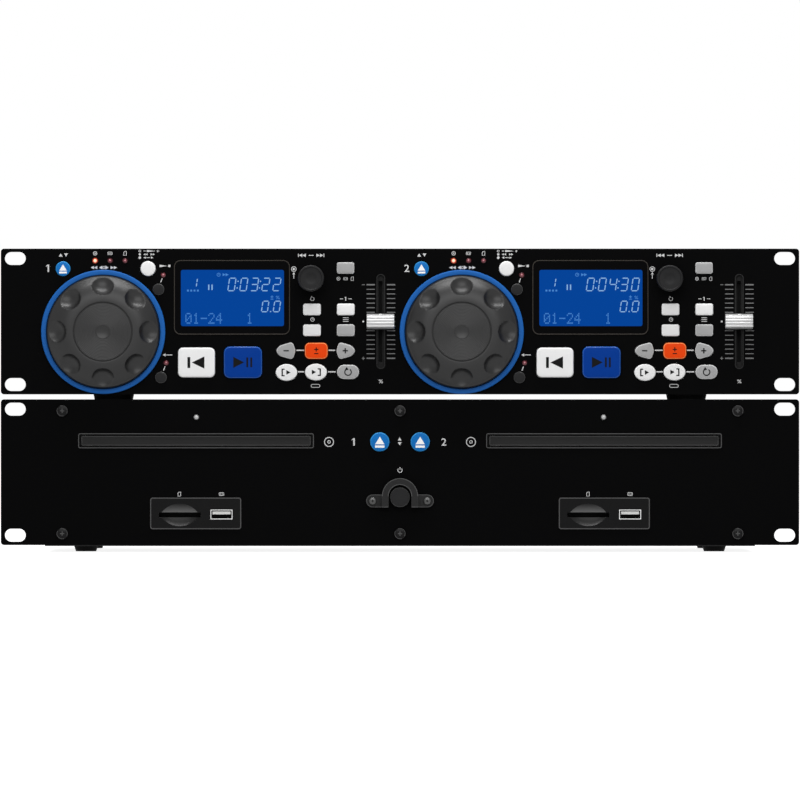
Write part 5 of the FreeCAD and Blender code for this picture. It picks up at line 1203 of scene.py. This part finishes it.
tick = {"count": 17, "pitch": 2.78, "sides": (-17.7, -5.4), "long": 5.0, "line": 0.5, "endLine": 0.8,
        "markX": -22.2, "mark": (1.8, 0.45), "middle": 1.1}
joins = {"wide": 0.7, "rows": ((-62.6, -57.9, -17.4), (-43.3, -39.2, -17.4), (-61.7, -57.9, -30.4),
                               (-43.5, -38.8, -30.4)),
         "slope": 70, "slopeWide": 0.56, "slopes": ((-144.2, 24.9, 2.6), (-142.5, -28.4, 2.8))}


def deckSigns():
    # small signs beside the keys, knobs and lamps of one deck
    signs = [triangle(2.3, 1.9, "up", -205.1, 40.2), triangle(2.3, 1.9, "down", -201.9, 40.2)]
    signs += discSign(2.5, -184.3, 41.2) + plugSign(2.3, -175.3, 41.2) + cardSign(2.6, -166.2, 41.2)
    signs += seekSign(2.0, "left", -185.0, 32.6) + seekSign(2.0, "right", -173.0, 32.6)
    signs += [triangle(1.9, 2.4, "left", -180.9, 32.6), circle(1.7, 0.35, -179.0, 32.6),
              triangle(1.9, 2.4, "right", -177.1, 32.6)]
    signs += [circle(1.5, 0.3, -157.3, 42.6), dot(1.4, -157.3, 40.6), dot(1.6, -157.3, 38.6),
              bar(1.4, 0.35, -154.4, 42.6), triangle(5.4, 1.3, "right", -150.4, 42.6)]
    signs += plusSign(1.4, 0.35, -146.4, 42.6)
    signs += seekSign(1.3, "left", -153.9, 40.6) + seekSign(1.3, "right", -149.5, 40.6)
    signs += [triangle(1.5, 1.3, "left", -154.4, 38.6), bar(2.4, 0.35, -152.1, 38.6),
              triangle(1.5, 1.3, "right", -149.8, 38.6)]
    signs += [triangle(4.6, 1.5, "right", -143.0, 33.6), bar(1.4, 1.4, -139.5, 33.6)]
    signs += [triangle(1.8, 1.8, "left", -142.6, -20.2), bar(3.8, 0.45, -139.6, -20.2)]
    signs += seekSign(2.1, "left", -59.0, 40.0, stop=True) + seekSign(2.1, "right", -48.4, 40.0, stop=True)
    signs += [bar(3.0, 0.4, -53.7, 40.0), circle(3.2, 0.35, -64.2, 31.7), dot(1.5, -64.2, 31.7),
              bar(0.4, 2.6, -64.2, 27.2), triangle(1.6, 1.5, "up", -64.2, 29.2)]
    signs += discSign(2.2, -37.2, 25.9) + plugSign(2.1, -32.9, 25.9) + cardSign(2.4, -28.9, 25.9)
    signs += loopSign(2.6, -53.0, 13.7) + figureOne(2.3, -32.8, 13.7) + clockSign(2.5, -52.9, 1.2)
    signs += [bar(2.0, 0.35, x, 13.7) for x in (-35.4, -30.2)]
    signs += [bar(3.4, 0.4, -32.8, z) for z in (0.1, 1.2, 2.3)]
    return signs + [frameLine(boxOutline(5.6, 2.2, 1.05, 5), 0.35, -51.1, -38.9),
                    numberPrint("%", 2.2, 2.6, -11.6, -36.2, 0.02), dot(tick["middle"], tick["markX"], 0)]


def joinLines():
    # lines between the keys of one row, and the slanted lines from lamp to button
    lines = [bar(last - first, joins["wide"], (first + last) / 2, z) for first, last, z in joins["rows"]]
    box = np.array([(-1, -1), (1, -1), (1, 1), (-1, 1)]) / 2
    return lines + [flatSign(turnedOutline(box * [long, joins["slopeWide"]], joins["slope"]), x, z)
                    for x, z, long in joins["slopes"]]


def faderMarks():
    # even ticks on both sides of the slot, the end ones thicker, with a minus above and a plus below
    steps = np.arange(tick["count"]) - (tick["count"] - 1) / 2
    top = tick["pitch"] * steps.max()
    lines = np.where(np.abs(steps) == steps.max(), tick["endLine"], tick["line"])
    made = [bar(tick["long"], line, x, step * tick["pitch"])
            for step, line in zip(steps, lines) for x in tick["sides"]]
    return made + [bar(*tick["mark"], tick["markX"], top)] + plusSign(*tick["mark"], tick["markX"], -top)


def deckFigure(deck, x, z):
    return figureOne(4.4, x, z) if deck == "a" else [numberPrint("2", 4.4, 3.0, x, z, 0.05)]


def driveSigns():
    signs = deckFigure("a", -27.8, 18.3) + deckFigure("b", 26.5, 18.3) + powerSign(3.0, 0, 1.2)
    signs += [triangle(2.3, 1.9, "up", -0.2, 20.1), triangle(2.3, 1.9, "down", -0.2, 17.2)]
    for side in (-1, 1):
        x = side * port["x"]
        signs += cardSign(2.7, x - 9.9, -13.2) + plugSign(2.5, x + port["plugX"], -13.2)
        signs += [circle(6.0, 0.5, side * 42.9, 18.3), circle(2.0, 0.4, side * 42.9, 18.3)]
    return signs


white = onBothDecks(deckSigns() + joinLines(), faceY)
for deck, shift in deckShift.items():
    white += moved(deckFigure(deck, -212.6, 32.2), shift, faceY, controlZ)
addPiece("control_panel_print", white, "printWhite", "control_unit")
addPiece("control_panel_scale", onBothDecks(faderMarks(), faceY), "printGrey", "control_unit")
addPiece("drive_panel_print", moved(driveSigns(), 0, faceY, driveZ), "printWhite", "drive_unit")
print("panel print made")

print("all pieces made")
